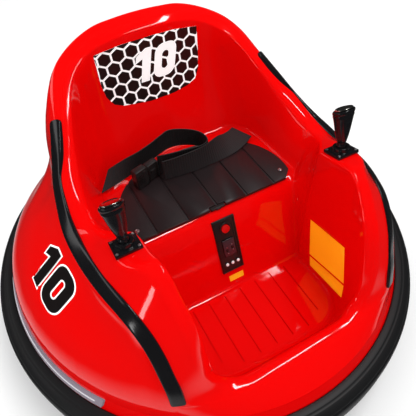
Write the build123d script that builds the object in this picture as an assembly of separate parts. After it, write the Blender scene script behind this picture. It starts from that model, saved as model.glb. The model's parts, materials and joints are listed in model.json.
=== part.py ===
from build123d import *
from math import cos, radians, sin
import os

# A child's ride-on bumper car with a battery drive under the seat. Millimetres, +Z up.
# The front of the car looks along -Y, the rider's left hand is at +X, and the origin is on the floor
# under the middle of the car.

# Bumper ring
ring_half_width = 350.0
ring_half_length = 362.0
ring_top = 106.0
ring_bottom = 42.0
ring_thickness = 28.0
ring_round = 22.0

# Moulded body
fit_gap = 0.3
wall = 4.0
seam_gap = 0.6
skirt_bottom = 60.0
skirt_top = 125.0

# Footwell
floor_height = 95.0
floor_half_width = 120.0
floor_rear = -127.0
floor_front = -256.0
floor_corner = 56.0
floor_rear_corner = 12.0
well_side_draft = 0.037
well_front_draft = 0.33
well_rear_draft = 0.35
well_height = 245.0
floor_rib_depth = 1.2
floor_rib_width = 2.0
floor_rib_pitch = 28.0
floor_rib_count = 7
floor_rib_front_end = 10.0
floor_rib_rear_end = 6.0
lip_height = 150.0
lip_outer = -292.0
lip_half_width = 121.0
lip_corner = 36.0

# Seat and seat back
seat_height = 228.0
seat_front = -76.0
seat_rear = 66.0
seat_half_width = 132.0
seat_corner = 14.0
seat_plate_thickness = 5.0
groove_pitch = 48.0
groove_width = 3.0
groove_depth = 2.0
notch_width = 26.0
notch_depth = 6.0
hollow_half_width = 141.0
hollow_corner = 58.0
hollow_front_corner = 4.0
back_face = 119.0
back_foot = 88.0
back_rise = 75.0
back_thickness = 22.0
back_top = 430.0
back_flat = 46.0
back_round = 114.0
rim_width = 12.0
rim_drop = 12.0
flare_foot = 229.5
flare_top = 340.0

# Black trim strips on the edges of the arms
strip_width = 24.0
strip_stand = 3.5
strip_root = 10.0

# Underside
pan_bottom = 37.7
pan_wall = 4.0
pan_rim_height = 20.0
pan_flange = 14.0
wheel_radius = 65.0
wheel_width = 38.0
wheel_half_track = 215.0
wheel_y = 40.0
wheel_bore_radius = 5.0
wheel_clearance = 9.0
rim_radius = 47.0
hub_wall = 4.0
hub_boss_radius = 14.0
hub_web = 4.0
hub_hole_radius = 8.0
hub_hole_circle = 28.0
hub_hole_count = 5
nut_radius = 9.0
nut_height = 4.0
caster_radius = 25.0
caster_width = 20.0
caster_trail = 16.0
caster_plate_thickness = 4.0
caster_arm_thickness = 3.0
caster_side_gap = 1.0
caster_race_radius = 16.0
caster_top_gap = 0.4
stem_height = 9.2
caster_front_y = -205.0
caster_rear_y = 222.0
pocket_radius = 54.0
pocket_top = 80.0
pocket_wall = 3.0
run_gap = 0.05
stem_radius = 4.0
caster_axle_radius = 3.0
gearbox_inner = 134.0
gearbox_outer = 186.0
gearbox_length = 66.0
gearbox_height = 58.0
motor_radius = 18.0
motor_length = 46.0
battery_size = (150.0, 65.0, 94.0)
battery_y = 92.0

# Light strips in the skirt
lens_low = 107.5
lens_high = 123.5
lens_front = -205.0
lens_rear = 62.0
lens_stand = 2.0

# Joysticks
stick_x = 150.0
stick_y = -141.0
stick_z = 316.5
stick_slope = 13.0
stick_plate_width = 32.0
stick_plate_length = 30.0
stick_plate_thickness = 4.0
stick_boss_radius = 11.0
stick_boss_height = 5.5
stick_ball_radius = 6.6
stick_ball_height = 7.0
stick_ball_gap = 0.4
stick_length = 50.0
stick_head_radius = 14.5
stick_neck_radius = 6.0
stick_lean = 10.0
cap_thickness = 2.5
cap_inset = 3.5

# Lap belt
webbing_width = 38.0
webbing_thickness = 1.8
belt_height = 233.6
buckle_length = 44.0
buckle_width = 34.0
buckle_thickness = 13.0
buckle_middle = (-68.0, 26.0)
buckle_turn = 18.0

# Control panel on the seat box
panel_width = 37.0
panel_height = 97.0
panel_thickness = 3.0
panel_middle = 171.0
button_radius = 6.5
button_height = 4.0
button_from_top = 16.0
display_width = 20.0
display_height = 30.0
display_thickness = 2.0
display_middle = -2.0
knob_radius = 2.4
knob_height = 2.0
knob_spread = 9.5
knobs_from_bottom = 17.0

skirt_half_width = ring_half_width - ring_thickness - fit_gap
skirt_half_length = ring_half_length - ring_thickness - fit_gap

# Lower shell sections: height, inset of the sides, of the front and of the rear from the skirt
SHELL = [
    (skirt_bottom, 0.0, 0.0, 0.0),
    (ring_top - 2.0, 0.0, 0.0, 0.0),
    (skirt_top, 8.0, 8.0, 8.0),
    (155.0, 16.0, 14.0, 26.0),
    (200.0, 44.0, 26.0, 80.0),
    (240.0, 84.0, 42.0, 128.0),
    (266.0, 108.0, 60.0, 156.0),
    (282.0, 124.0, 92.0, 184.0),
]

# Arm stations from the back to the front: y, crest x, crest z, trim x, trim z, foot x
ARMS = [
    (120.0, 115.0, 400.0, 142.0, 385.0, 188.0),
    (78.0, 147.0, 365.0, 161.0, 358.0, 198.0),
    (50.0, 158.0, 341.0, 174.0, 334.0, 205.0),
    (15.0, 171.0, 315.0, 185.0, 308.0, 210.0),
    (-25.0, 179.0, 296.0, 193.0, 292.0, 213.0),
    (-66.0, 180.0, 290.0, 197.0, 280.0, 214.0),
    (-92.0, 173.0, 300.0, 197.0, 279.0, 212.0),
    (-118.0, 166.0, 310.3, 197.0, 278.0, 210.0),
    (-163.0, 163.0, 321.1, 191.0, 276.0, 199.0),
    (-190.0, 143.0, 324.0, 183.0, 273.0, 187.0),
    (-216.0, 137.0, 308.0, 175.0, 263.0, 177.0),
    (-240.0, 132.0, 278.0, 167.0, 240.0, 168.0),
    (-256.0, 130.0, 240.0, 164.0, 208.0, 165.0),
    (-264.0, 125.0, 198.0, 163.0, 172.0, 164.0),
]
arm_inner = 100.0
arm_foot_height = 262.0
arm_base = 150.0

# Rear sections behind the seat back: height, half width, reach behind the middle of the sections
REAR = [
    (150.0, 204.0, 186.0),
    (230.0, 196.0, 168.0),
    (290.0, 185.0, 141.0),
    (350.0, 167.0, 107.0),
    (400.0, 136.0, 77.0),
    (back_top, 50.0, 53.0),
]
rear_middle = 100.0

# Plan of the widened part of the seat hollow, at flare_foot and at flare_top
FLARE_LOW = [
    (98.0, -73.0),
    (135.0, -73.0),
    (137.0, -70.0),
    (137.0, 28.0),
    (98.0, 28.0),
]
FLARE_HIGH = [
    (98.0, -138.0),
    (131.0, -138.0),
    (207.0, -60.0),
    (140.0, 72.0),
    (98.0, 72.0),
]

# Middle moulding behind the trim strips
core_rear_half_width = 150.0
core_rear = 140.0

# Trim strip stations: x, y, z, and the outward direction there
STRIP = [
    (161.0, 80.0, 359.0, (0.85, -0.30, 0.45)),
    (174.0, 50.0, 334.0, (0.80, -0.30, 0.55)),
    (185.0, 15.0, 308.0, (0.75, -0.20, 0.65)),
    (193.0, -25.0, 292.0, (0.72, -0.10, 0.70)),
    (197.0, -70.0, 280.0, (0.70, 0.00, 0.72)),
    (197.0, -118.0, 278.0, (0.70, -0.05, 0.72)),
    (192.0, -163.0, 276.0, (0.70, -0.15, 0.70)),
    (183.0, -194.0, 272.0, (0.68, -0.35, 0.65)),
    (175.0, -218.0, 262.0, (0.62, -0.50, 0.60)),
    (167.0, -240.0, 240.0, (0.55, -0.70, 0.45)),
    (164.0, -256.0, 208.0, (0.50, -0.80, 0.30)),
    (163.5, -272.0, 158.0, (0.48, -0.86, 0.15)),
]

# Middle lines of the belt in plan: from the left anchor round to the buckle, and on to the right anchor
BELT_LOOP = [
    (-136.0, 32.0),
    (-120.0, 56.0),
    (-90.0, 70.0),
    (-45.0, 78.0),
    (-8.0, 84.0),
    (25.0, 76.0),
    (44.0, 55.0),
    (32.0, 41.0),
    (0.0, 47.0),
    (-35.0, 45.0),
    (-46.0, 42.0),
]
BELT_STRAP = [
    (-44.0, 14.0),
    (0.0, 22.0),
    (45.0, 22.0),
    (85.0, 34.0),
    (120.0, 66.0),
]

os.makedirs("parts", exist_ok=True)


def put(name, shape):
    """Writes one piece of the car to its own file."""
    export_step(shape, f"parts/{name}.step")


def oval(half_width, half_length, height, middle=0.0):
    return Plane.XY.offset(height) * Pos(0, middle) * Ellipse(half_width, half_length)


def oval_block(inset, low, high):
    return extrude(oval(skirt_half_width - inset, skirt_half_length - inset, low), amount=high - low)


def box_between(low, high):
    size = [b - a for a, b in zip(low, high)]
    middle = [(a + b) / 2 for a, b in zip(low, high)]
    return Pos(*middle) * Box(*size)


def shell_oval(row, grow, rise):
    """One section of the lower shell from a row of the table."""
    height, side, front, rear = row
    front_y = -(skirt_half_length - front + grow)
    rear_y = skirt_half_length - rear + grow
    half_length = (rear_y - front_y) / 2
    return oval(skirt_half_width - side + grow, half_length, height + rise, (rear_y + front_y) / 2)


def dome(grow=0.0):
    """The saucer shaped lower body, grown outward or shrunk."""
    upright = extrude(shell_oval(SHELL[0], grow, 0.0), amount=SHELL[1][0] - SHELL[0][0])
    sections = [shell_oval(SHELL[1], grow, 0.0)]
    sections += [shell_oval(row, grow, grow * row[1] / SHELL[-1][1]) for row in SHELL[2:]]
    return upright + loft(sections)


def arm(grow=0.0):
    """The left arm, from the side of the seat back to the front of the footwell."""
    sections = []
    for y, crest_x, crest_z, trim_x, trim_z, foot_x in ARMS:
        points = [
            (arm_inner, arm_base),
            (arm_inner, crest_z + grow),
            (crest_x + grow / 2, crest_z + grow),
            (trim_x + grow, trim_z + grow / 2),
            (max(foot_x, trim_x + 1) + grow, min(arm_foot_height, trim_z - 10)),
            (max(foot_x, trim_x + 1) + grow, arm_base),
        ]
        sections.append(make_face(Plane.XZ.offset(-y) * Polyline(*points, close=True)))
    return loft(sections)


def back_outline(grow, low):
    """The seat back seen from the front."""
    radius = back_round + grow
    middle_z = back_top - back_round
    flank = radians(12)
    mid = radians(50)
    corner = (back_flat + radius * cos(flank), middle_z + radius * sin(flank))
    between = (back_flat + radius * cos(mid), middle_z + radius * sin(mid))
    foot = (190.0 + grow, 290.0)
    edges = [
        Line((-back_flat, middle_z + radius), (back_flat, middle_z + radius)),
        ThreePointArc((back_flat, middle_z + radius), between, corner),
        Line(corner, foot),
        Line(foot, (foot[0], low)),
        Line((foot[0], low), (-foot[0], low)),
        Line((-foot[0], low), (-foot[0], foot[1])),
        Line((-foot[0], foot[1]), (-corner[0], corner[1])),
        ThreePointArc((-corner[0], corner[1]), (-between[0], between[1]), (-back_flat, middle_z + radius)),
    ]
    return make_face(Plane.XZ * Wire(edges))


def rim_slope(grow):
    """The space over the rim of the seat back, which falls towards the rider."""
    rear_y = rear_middle + REAR[-1][2]
    fall = rim_drop / (rear_y - back_face)
    front_y = back_face - 20
    front_z = back_top - rim_drop - 20 * fall + grow
    above = back_top + 50
    corners = [(front_y, front_z), (rear_y, back_top + grow), (rear_y, above), (front_y, above)]
    return extrude(make_face(Plane.YZ * Polyline(*corners, close=True)), amount=back_round, both=True)


def rear_block(grow=0.0):
    """The seat back and the slope behind it."""
    ovals = []
    for height, half_width, reach in REAR:
        rise = grow if height > REAR[0][0] else 0.0
        ovals.append(oval(half_width + grow, reach + grow, height + rise, rear_middle))
    hump = loft(ovals) & box_between((-300, back_face - 1 - grow, 0), (300, 400, 600))
    x = hollow_half_width
    foot = box_between((-x, back_foot - 6 - grow, 200), (x, back_face, 312 + grow))
    return (hump - rim_slope(grow)) + foot


def block(grow=0.0):
    left_arm = arm(grow)
    return dome(grow) + left_arm + mirror(left_arm, Plane.YZ) + rear_block(grow)


def basin_face(half_width, front, rear, height, front_corner, rear_corner):
    """An outline in plan, with one corner radius in front and another behind."""
    half = (rear - front) / 2
    face = Rectangle(2 * half_width, 2 * half)
    face = fillet(face.vertices().filter_by_position(Axis.Y, -half - 1, -half + 1), front_corner)
    face = fillet(face.vertices().filter_by_position(Axis.Y, half - 1, half + 1), rear_corner)
    return Plane.XY.offset(height) * Pos(0, (front + rear) / 2) * face


def footwell(grow=0.0):
    """The space for the legs, grown outward by a wall."""
    h = well_height
    g = grow
    corners = (floor_corner + g, floor_rear_corner + g)
    low = basin_face(floor_half_width + g, floor_front - g, floor_rear + g, floor_height - g, *corners)
    side = floor_half_width + well_side_draft * h + g
    front = floor_front - well_front_draft * h - g
    high = basin_face(side, front, floor_rear + well_rear_draft * h + g, floor_height + h, *corners)
    return loft([low, high])


def flare(grow):
    """The left side of the seat hollow, which opens outward and forward to the joystick."""
    low = Plane.XY.offset(flare_foot) * Polyline(*FLARE_LOW, close=True)
    high = Plane.XY.offset(flare_top) * Polyline(*FLARE_HIGH, close=True)
    faces = [make_face(low), make_face(high)]
    if grow:
        faces = [offset(face, grow, kind=Kind.INTERSECTION) for face in faces]
    return loft(faces)


def seat_space(grow=0.0):
    """The space for the rider above the seat."""
    g = grow
    side = hollow_half_width + g
    corners = (hollow_front_corner, hollow_corner + g)
    low = basin_face(side - 3, seat_front - 12, back_foot + g, seat_height - g, *corners)
    mid = basin_face(side, seat_front, back_face + g, seat_height + back_rise, *corners)
    high = basin_face(side, seat_front, back_face + g + 1, back_top + 40, *corners)
    left_flare = flare(g)
    plan = loft([low, mid]) + loft([mid, high]) + left_flare + mirror(left_flare, Plane.YZ)
    front_view = extrude(Pos(0, -400, 0) * back_outline(g - rim_width, 200.0), amount=600, dir=(0, 1, 0))
    return plan & front_view


def front_opening(grow=0.0):
    """The low front lip between the arms."""
    g = grow
    face = Pos(0, lip_height + 150) * RectangleRounded(2 * lip_half_width + 2 * g, 300 + 2 * g, lip_corner)
    front_zone = box_between((-200, -500, 0), (200, floor_front + 10 + g, 500))
    opening = extrude(Plane.XZ * face, amount=500) & front_zone
    crest_y = lip_outer + g
    slope = [(crest_y, lip_height + 1), (crest_y, 400), (-400, 400), (-400, lip_height - 60 - g)]
    slope_face = make_face(Plane.YZ * Polyline(*slope, close=True))
    chamfer = extrude(slope_face, amount=lip_half_width + g, both=True)
    return opening + chamfer


def cavity(grow=0.0):
    return footwell(grow) + seat_space(grow) + front_opening(grow)


def core_region():
    """Plan of the middle moulding, out to the trim strips."""
    left = [(x, y) for x, y, z, direction in STRIP]
    right = [(-x, y) for x, y in left]
    front_x = left[-1][0] - 2
    front = [(front_x, -400.0), (-front_x, -400.0)]
    rear = [(-core_rear_half_width, core_rear), (core_rear_half_width, core_rear)]
    points = left + front + right[::-1] + rear
    return Polyline(*points, close=True)


outer = block()
inner = block(-wall)
core = extrude(make_face(core_region()), amount=600)
above_skirt = box_between((-400, -400, skirt_top + seam_gap), (400, 400, 600))
rear_split = back_face + back_thickness / 2
front_of_split = box_between((-400, -400, 0), (400, rear_split, 600))
behind_split = box_between((-400, rear_split + seam_gap, 0), (400, 400, 600))
side_rear = STRIP[0][1]


def keep_largest(shape):
    return sorted(shape.solids(), key=lambda s: s.volume)[-1]


def both_sides(name, shape):
    """Writes a left piece and its mirror image on the right."""
    put(f"{name}_left", shape)
    put(f"{name}_right", mirror(shape, Plane.YZ))


def make_tub():
    basin = footwell(wall) & oval_block(wall + fit_gap, skirt_bottom, skirt_top + 2)
    solid = ((outer & core & above_skirt & front_of_split) + basin) - cavity()
    shell = keep_largest(solid - (inner - cavity(wall)))
    for i in range(floor_rib_count):
        x = (i - (floor_rib_count - 1) / 2) * floor_rib_pitch
        low = (x - floor_rib_width / 2, floor_front + floor_rib_front_end, floor_height - floor_rib_depth)
        high = (x + floor_rib_width / 2, floor_rear - floor_rib_rear_end, floor_height + 5)
        shell = shell - box_between(low, high)
    return shell


def make_side_panel():
    skin = (outer & above_skirt) - inner - core
    return keep_largest(skin & box_between((40, -400, 0), (400, side_rear - seam_gap, 600)))


def make_rear_shell():
    skin = (outer & above_skirt) - inner
    sides = (skin & box_between((-400, side_rear, 0), (400, 400, 600))) - core
    return keep_largest(sides + (skin & core & behind_split))


def make_strip():
    faces = []
    for i, (x, y, z, direction) in enumerate(STRIP):
        before = STRIP[max(i - 1, 0)][:3]
        after = STRIP[min(i + 1, len(STRIP) - 1)][:3]
        along = Vector(*after) - Vector(*before)
        across = along.cross(Vector(*direction)).normalized()
        outward = across.cross(along).normalized()
        middle = Vector(x, y, z) + outward * (strip_stand - strip_root) / 2
        section = Rectangle(strip_width, strip_stand + strip_root)
        faces.append(Plane(origin=middle, x_dir=across, z_dir=along) * section)
    band = loft(faces)
    reach = box_between((40, STRIP[-1][1], 0), (400, side_rear - 2, 600))
    return keep_largest((band & reach) - block(fit_gap / 2))


def make_skirt():
    ring = dome() - dome(-wall)
    low = ring & box_between((-400, -400, skirt_bottom), (400, 400, skirt_top))
    window = lens_zone(0.4)
    return low - window - mirror(window, Plane.YZ)


def lens_zone(gap):
    return box_between((220, lens_front - gap, lens_low - gap), (400, lens_rear + gap, lens_high + gap))


def make_lens():
    return keep_largest((dome(lens_stand) - dome(-1.5)) & lens_zone(0.0))


def make_light_housing():
    strip = (dome(-1.9) - dome(-wall - 1)) & lens_zone(-1.0)
    flange = (dome(-wall - fit_gap) - dome(-wall - 3)) & lens_zone(5.0)
    return keep_largest(strip + flange)


def make_ring():
    outside = extrude(oval(ring_half_width, ring_half_length, ring_bottom), amount=ring_top - ring_bottom)
    outside = fillet(outside.edges(), ring_round)
    t = ring_thickness
    return outside - extrude(oval(ring_half_width - t, ring_half_length - t, 0), amount=200)


def make_pan():
    flange = oval_block(-pan_flange, pan_bottom, pan_bottom + pan_wall)
    rim = oval_block(wall + 2 * fit_gap, pan_bottom, pan_bottom + pan_rim_height)
    inside = oval_block(2 * wall + 2 * fit_gap, pan_bottom + pan_wall, pan_bottom + pan_rim_height + 1)
    pan = flange + (rim - inside)
    for y in (caster_front_y, caster_rear_y):
        height = pocket_top + pocket_wall - pan_bottom
        pocket = Pos(0, y, pan_bottom + height / 2) * Cylinder(pocket_radius + pocket_wall, height)
        depth = pocket_top - pan_bottom + 2
        space = Pos(0, y, pocket_top - depth / 2) * Cylinder(pocket_radius, depth)
        pan = pan + pocket - space - Pos(0, y, pocket_top) * Cylinder(stem_radius + run_gap, 20)
    half_slot = wheel_radius + wheel_clearance
    for side in (-1, 1):
        x = side * wheel_half_track
        w = wheel_width / 2 + wheel_clearance
        pan = pan - box_between((x - w, wheel_y - half_slot, 0), (x + w, wheel_y + half_slot, 70))
    return pan


def revolved_wheel(points, x):
    """A profile of radius and width, turned about the axle line along X."""
    face = make_face(Plane.XY * Polyline(*[(w, r) for r, w in points], close=True))
    return Pos(x, wheel_y, wheel_radius) * revolve(face, Axis.X)


def rod_along_x(radius, low_x, high_x, y, z):
    return Pos((low_x + high_x) / 2, y, z) * Rot(0, 90, 0) * Cylinder(radius, high_x - low_x)


def make_drive_wheel():
    w = wheel_width / 2
    b = wheel_bore_radius + run_gap
    inner_r = rim_radius - hub_wall
    boss = hub_boss_radius
    hub_points = [
        (b, -w + 4),
        (b, w - 2),
        (boss, w - 2),
        (boss, w - 10),
        (inner_r, w - 10),
        (inner_r, w - 1),
        (rim_radius, w - 1),
        (rim_radius, -w + 1),
        (inner_r, -w + 1),
        (inner_r, w - 10 - hub_web),
        (boss, w - 10 - hub_web),
        (boss, -w + 4),
    ]
    hub = revolved_wheel(hub_points, wheel_half_track)
    for i in range(hub_hole_count):
        turn = Rot(360 / hub_hole_count * i, 0, 0) * Pos(0, 0, hub_hole_circle)
        hole = Rot(0, 90, 0) * Cylinder(hub_hole_radius, 2 * wheel_width)
        hub = hub - Pos(wheel_half_track, wheel_y, wheel_radius) * turn * hole
    r = rim_radius + run_gap
    tyre_points = [
        (r, -w),
        (r, w),
        (wheel_radius - 8, w),
        (wheel_radius - 2, w - 4),
        (wheel_radius, w - 9),
        (wheel_radius, -w + 9),
        (wheel_radius - 2, -w + 4),
        (wheel_radius - 8, -w),
    ]
    return hub, revolved_wheel(tyre_points, wheel_half_track)


def make_axle():
    outer_end = wheel_half_track + wheel_width / 2 + 3
    rod = rod_along_x(wheel_bore_radius, gearbox_outer - 20, outer_end, wheel_y, wheel_radius)
    return rod + rod_along_x(nut_radius, outer_end, outer_end + nut_height, wheel_y, wheel_radius)


def make_gearbox():
    floor_z = pan_bottom + pan_wall
    low = (gearbox_inner, wheel_y - gearbox_length / 2, floor_z)
    case = box_between(low, (gearbox_outer, wheel_y + gearbox_length / 2, floor_z + gearbox_height))
    case = fillet(case.edges().filter_by(Axis.X), 8)
    motor_z = floor_z + motor_radius + 6
    motor = rod_along_x(motor_radius, gearbox_inner - motor_length, gearbox_inner, wheel_y, motor_z)
    bore_radius = wheel_bore_radius + run_gap
    bore = rod_along_x(bore_radius, gearbox_outer - 20.5, gearbox_outer + 1, wheel_y, wheel_radius)
    foot_low = (gearbox_inner - motor_length + 6, wheel_y - 12, floor_z)
    foot = box_between(foot_low, (gearbox_inner, wheel_y + 12, floor_z + 10))
    return case + motor + foot - bore


def make_caster(y):
    """A swivelling fork with its pin and its wheel. The wheel trails behind the stem."""
    axle_y = y + caster_trail
    top = pocket_top - caster_top_gap
    low = top - caster_plate_thickness
    inside = caster_width / 2 + caster_side_gap
    outside = inside + caster_arm_thickness
    fork = box_between((-outside, y - 12, low), (outside, y + 16, top))
    fork = fork + Pos(0, y, top + stem_height / 2) * Cylinder(stem_radius, stem_height)
    fork = fork + Pos(0, y, top - 1) * Cylinder(caster_race_radius, 2)
    profile = Polyline(
        (y - 10, low),
        (y + 14, low),
        (axle_y + 7, caster_radius),
        (axle_y, caster_radius - 8),
        (axle_y - 7, caster_radius),
        close=True,
    )
    for start in (-outside, inside):
        cheek = make_face(Plane.YZ.offset(start) * profile)
        fork = fork + extrude(cheek, amount=caster_arm_thickness, dir=(1, 0, 0))
    bore = rod_along_x(caster_axle_radius + run_gap, -2 * outside, 2 * outside, axle_y, caster_radius)
    pin = rod_along_x(caster_axle_radius, -outside - 1, outside + 1, axle_y, caster_radius)
    wheel = rod_along_x(caster_radius, -caster_width / 2, caster_width / 2, axle_y, caster_radius)
    return fork - bore, pin, fillet(wheel.edges(), 3) - bore


def make_seat_plate():
    top = seat_height + fit_gap + seat_plate_thickness
    half = seat_half_width
    side_y = seat_front + seat_corner
    front_x = half - seat_corner
    bend = (half * 0.40, seat_rear - 6)
    flank = (half * 0.80, seat_rear - 36)
    outline = Wire([
        Line((-half, side_y), (-front_x, seat_front)),
        Line((-front_x, seat_front), (front_x, seat_front)),
        Line((front_x, seat_front), (half, side_y)),
        ThreePointArc((half, side_y), flank, bend),
        ThreePointArc(bend, (0, seat_rear), (-bend[0], bend[1])),
        ThreePointArc((-bend[0], bend[1]), (-flank[0], flank[1]), (-half, side_y)),
    ])
    face = Plane.XY.offset(seat_height + fit_gap) * make_face(outline)
    plate = extrude(face, amount=seat_plate_thickness)
    for i in range(-2, 3):
        x = i * groove_pitch
        low = (x - groove_width / 2, -200, top - groove_depth)
        plate = plate - box_between(low, (x + groove_width / 2, 200, top + 1))
    low = (-notch_width / 2, seat_front - 1, 0)
    return plate - box_between(low, (notch_width / 2, seat_front + notch_depth, 400))


def panel_plane(height, stand=0.0):
    """A plane on the front wall of the seat box, its normal towards the rider's feet."""
    y = floor_rear + well_rear_draft * (height - floor_height)
    normal = Vector(0, -1, well_rear_draft).normalized()
    return Plane(origin=Vector(0, y, height) + normal * stand, x_dir=(1, 0, 0), z_dir=normal)


def make_control_panel():
    base = panel_plane(panel_middle, fit_gap)
    front = panel_plane(panel_middle, 2 * fit_gap + panel_thickness)
    plate = base * Pos(0, 0, panel_thickness / 2) * Box(panel_width, panel_height, panel_thickness)
    button_spot = Pos(0, panel_height / 2 - button_from_top, button_height / 2)
    button = front * button_spot * Cylinder(button_radius, button_height)
    display_spot = Pos(0, display_middle, display_thickness / 2)
    display = front * display_spot * Box(display_width, display_height, display_thickness)
    knobs = []
    for i in (-1, 0, 1):
        spot = Pos(i * knob_spread, knobs_from_bottom - panel_height / 2, knob_height / 2)
        knobs.append(front * spot * Cylinder(knob_radius, knob_height))
    return plate, button, display, Compound(knobs)


def stick_frame():
    return Pos(stick_x, stick_y, stick_z) * Rot(-stick_slope, 0, 0)


def make_stick():
    """The base plate with its socket, the grip with its ball, and the cap on the grip."""
    base = stick_frame()
    thickness = stick_plate_thickness
    plate = base * Pos(0, 0, thickness / 2) * Box(stick_plate_width, stick_plate_length, thickness)
    boss_spot = Pos(0, 0, thickness + stick_boss_height / 2)
    boss = base * boss_spot * Cylinder(stick_boss_radius, stick_boss_height)
    pivot = base * Pos(0, 0, thickness + stick_ball_height)
    plate = plate + boss - pivot * Sphere(stick_ball_radius + stick_ball_gap)
    lever = pivot * Rot(stick_slope - stick_lean, 0, 0)
    n = stick_neck_radius
    r = stick_head_radius
    top = stick_length
    profile = [
        (0, 0),
        (n, 0),
        (n, 8),
        (n + 1.5, 20),
        (r - 3, 36),
        (r, 42),
        (r - 1, top - 4),
        (r - 3, top),
        (0, top),
    ]
    grip = revolve(make_face(Plane.XZ * Polyline(*profile, close=True)), Axis.Z)
    grip = lever * (grip + Sphere(stick_ball_radius))
    cap_spot = Pos(0, 0, top + 0.1 + cap_thickness / 2)
    return plate, grip, lever * cap_spot * Cylinder(r - cap_inset, cap_thickness)


def webbing(points, low):
    path = Polyline(*points)
    band = extrude(trace(path, webbing_thickness), amount=webbing_width)
    return Pos(0, 0, low) * band


tub = make_tub()
side_panel = make_side_panel()
rear_shell = make_rear_shell()
put("body_tub", tub)
both_sides("side_panel", side_panel)
put("rear_shell", rear_shell)
both_sides("trim_strip", make_strip())
put("lower_skirt", make_skirt())
both_sides("light_lens", make_lens())
both_sides("light_housing", make_light_housing())
put("bumper_ring", make_ring())
put("lower_pan", make_pan())

hub, tyre = make_drive_wheel()
both_sides("drive_hub", hub)
both_sides("drive_tyre", tyre)
both_sides("drive_axle", make_axle())
both_sides("gearbox", make_gearbox())
width, length, height = battery_size
battery_floor = pan_bottom + pan_wall + fit_gap
put("battery", box_between((-width / 2, battery_y - length / 2, battery_floor),
                           (width / 2, battery_y + length / 2, battery_floor + height)))
for place, y in (("front", caster_front_y), ("rear", caster_rear_y)):
    fork, pin, wheel = make_caster(y)
    put(f"caster_fork_{place}", fork)
    put(f"caster_pin_{place}", pin)
    put(f"caster_wheel_{place}", wheel)

put("seat_plate", make_seat_plate())
plate, button, display, knobs = make_control_panel()
put("control_panel", plate)
put("power_button", button)
put("panel_display", display)
put("panel_knobs", knobs)

base, grip, cap = make_stick()
both_sides("joystick_base", base)
both_sides("joystick_grip", grip)
both_sides("joystick_cap", cap)

put("belt_loop", webbing(BELT_LOOP, belt_height))
put("belt_strap", webbing(BELT_STRAP, belt_height))
buckle = Pos(*buckle_middle, belt_height + buckle_width / 2) * Rot(0, 0, buckle_turn)
half = buckle_length / 2
socket = Box(half - fit_gap, buckle_thickness, buckle_width)
put("buckle_socket", buckle * Pos(-half / 2, 0, 0) * socket)
tongue = Box(half - fit_gap, buckle_thickness - 2, buckle_width - 4)
put("buckle_tongue", buckle * Pos(half / 2, 0, 0) * tongue)
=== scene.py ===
# %% [markdown]
# # A child's ride-on bumper car
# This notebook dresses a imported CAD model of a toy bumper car: materials, smooth shells, small
# parts, floor, light and camera. Everything is in metres, +Z up, and the car looks along -Y.

# %% Load the frame
import json
import math

import bpy
import numpy as np
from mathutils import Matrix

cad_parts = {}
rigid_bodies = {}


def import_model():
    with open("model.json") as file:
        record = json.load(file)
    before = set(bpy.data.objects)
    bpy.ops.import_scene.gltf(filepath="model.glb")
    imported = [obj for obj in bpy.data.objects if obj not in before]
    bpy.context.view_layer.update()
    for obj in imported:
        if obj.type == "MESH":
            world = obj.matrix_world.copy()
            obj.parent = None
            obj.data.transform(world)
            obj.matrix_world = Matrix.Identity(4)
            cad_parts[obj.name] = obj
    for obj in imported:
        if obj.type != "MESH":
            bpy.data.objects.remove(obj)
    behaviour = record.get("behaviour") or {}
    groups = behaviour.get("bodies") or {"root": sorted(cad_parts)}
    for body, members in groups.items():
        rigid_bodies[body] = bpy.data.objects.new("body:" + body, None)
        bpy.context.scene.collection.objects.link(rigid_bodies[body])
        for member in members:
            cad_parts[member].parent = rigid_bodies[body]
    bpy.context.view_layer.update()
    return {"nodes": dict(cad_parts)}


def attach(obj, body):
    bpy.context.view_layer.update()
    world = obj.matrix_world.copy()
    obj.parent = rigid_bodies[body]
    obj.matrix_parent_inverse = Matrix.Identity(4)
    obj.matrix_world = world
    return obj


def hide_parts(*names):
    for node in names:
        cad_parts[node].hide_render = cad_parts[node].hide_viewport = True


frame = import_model()
NODES = frame["nodes"]

# %% [markdown]
# ## Materials
# The car is made of a few plastics: glossy red shells, glossy black trim, a matt foam ring and satin
# black small parts. Each finish is one Principled shader with its own colour and roughness. Moulded
# plastic is never quite flat, so one node group, built once, adds a fine slow ripple to every normal.
# Noise in object coordinates was chosen over an image, because it has no seams and no file.

# %% Node group for surface grain, and a function that makes a finish


def wire(tree, *pairs):
    """Links outputs to inputs."""
    for start, end in pairs:
        tree.links.new(start, end)


def make_grain_group():
    """A bump from noise in object coordinates: Scale in 1/m, Height in metres."""
    group = bpy.data.node_groups.new("grain", "ShaderNodeTree")
    group.interface.new_socket("Scale", in_out="INPUT", socket_type="NodeSocketFloat")
    group.interface.new_socket("Height", in_out="INPUT", socket_type="NodeSocketFloat")
    group.interface.new_socket("Normal", in_out="OUTPUT", socket_type="NodeSocketVector")
    inputs, outputs, place, noise, bump = (group.nodes.new(kind) for kind in (
        "NodeGroupInput", "NodeGroupOutput", "ShaderNodeTexCoord", "ShaderNodeTexNoise", "ShaderNodeBump"))
    noise.inputs["Detail"].default_value = 3.0
    bump.inputs["Strength"].default_value = 1.0
    wire(group, (place.outputs["Object"], noise.inputs["Vector"]), (inputs.outputs["Scale"], noise.inputs["Scale"]),
         (noise.outputs["Fac"], bump.inputs["Height"]), (inputs.outputs["Height"], bump.inputs["Distance"]),
         (bump.outputs["Normal"], outputs.inputs["Normal"]))
    return group


GRAIN = make_grain_group()


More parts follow.
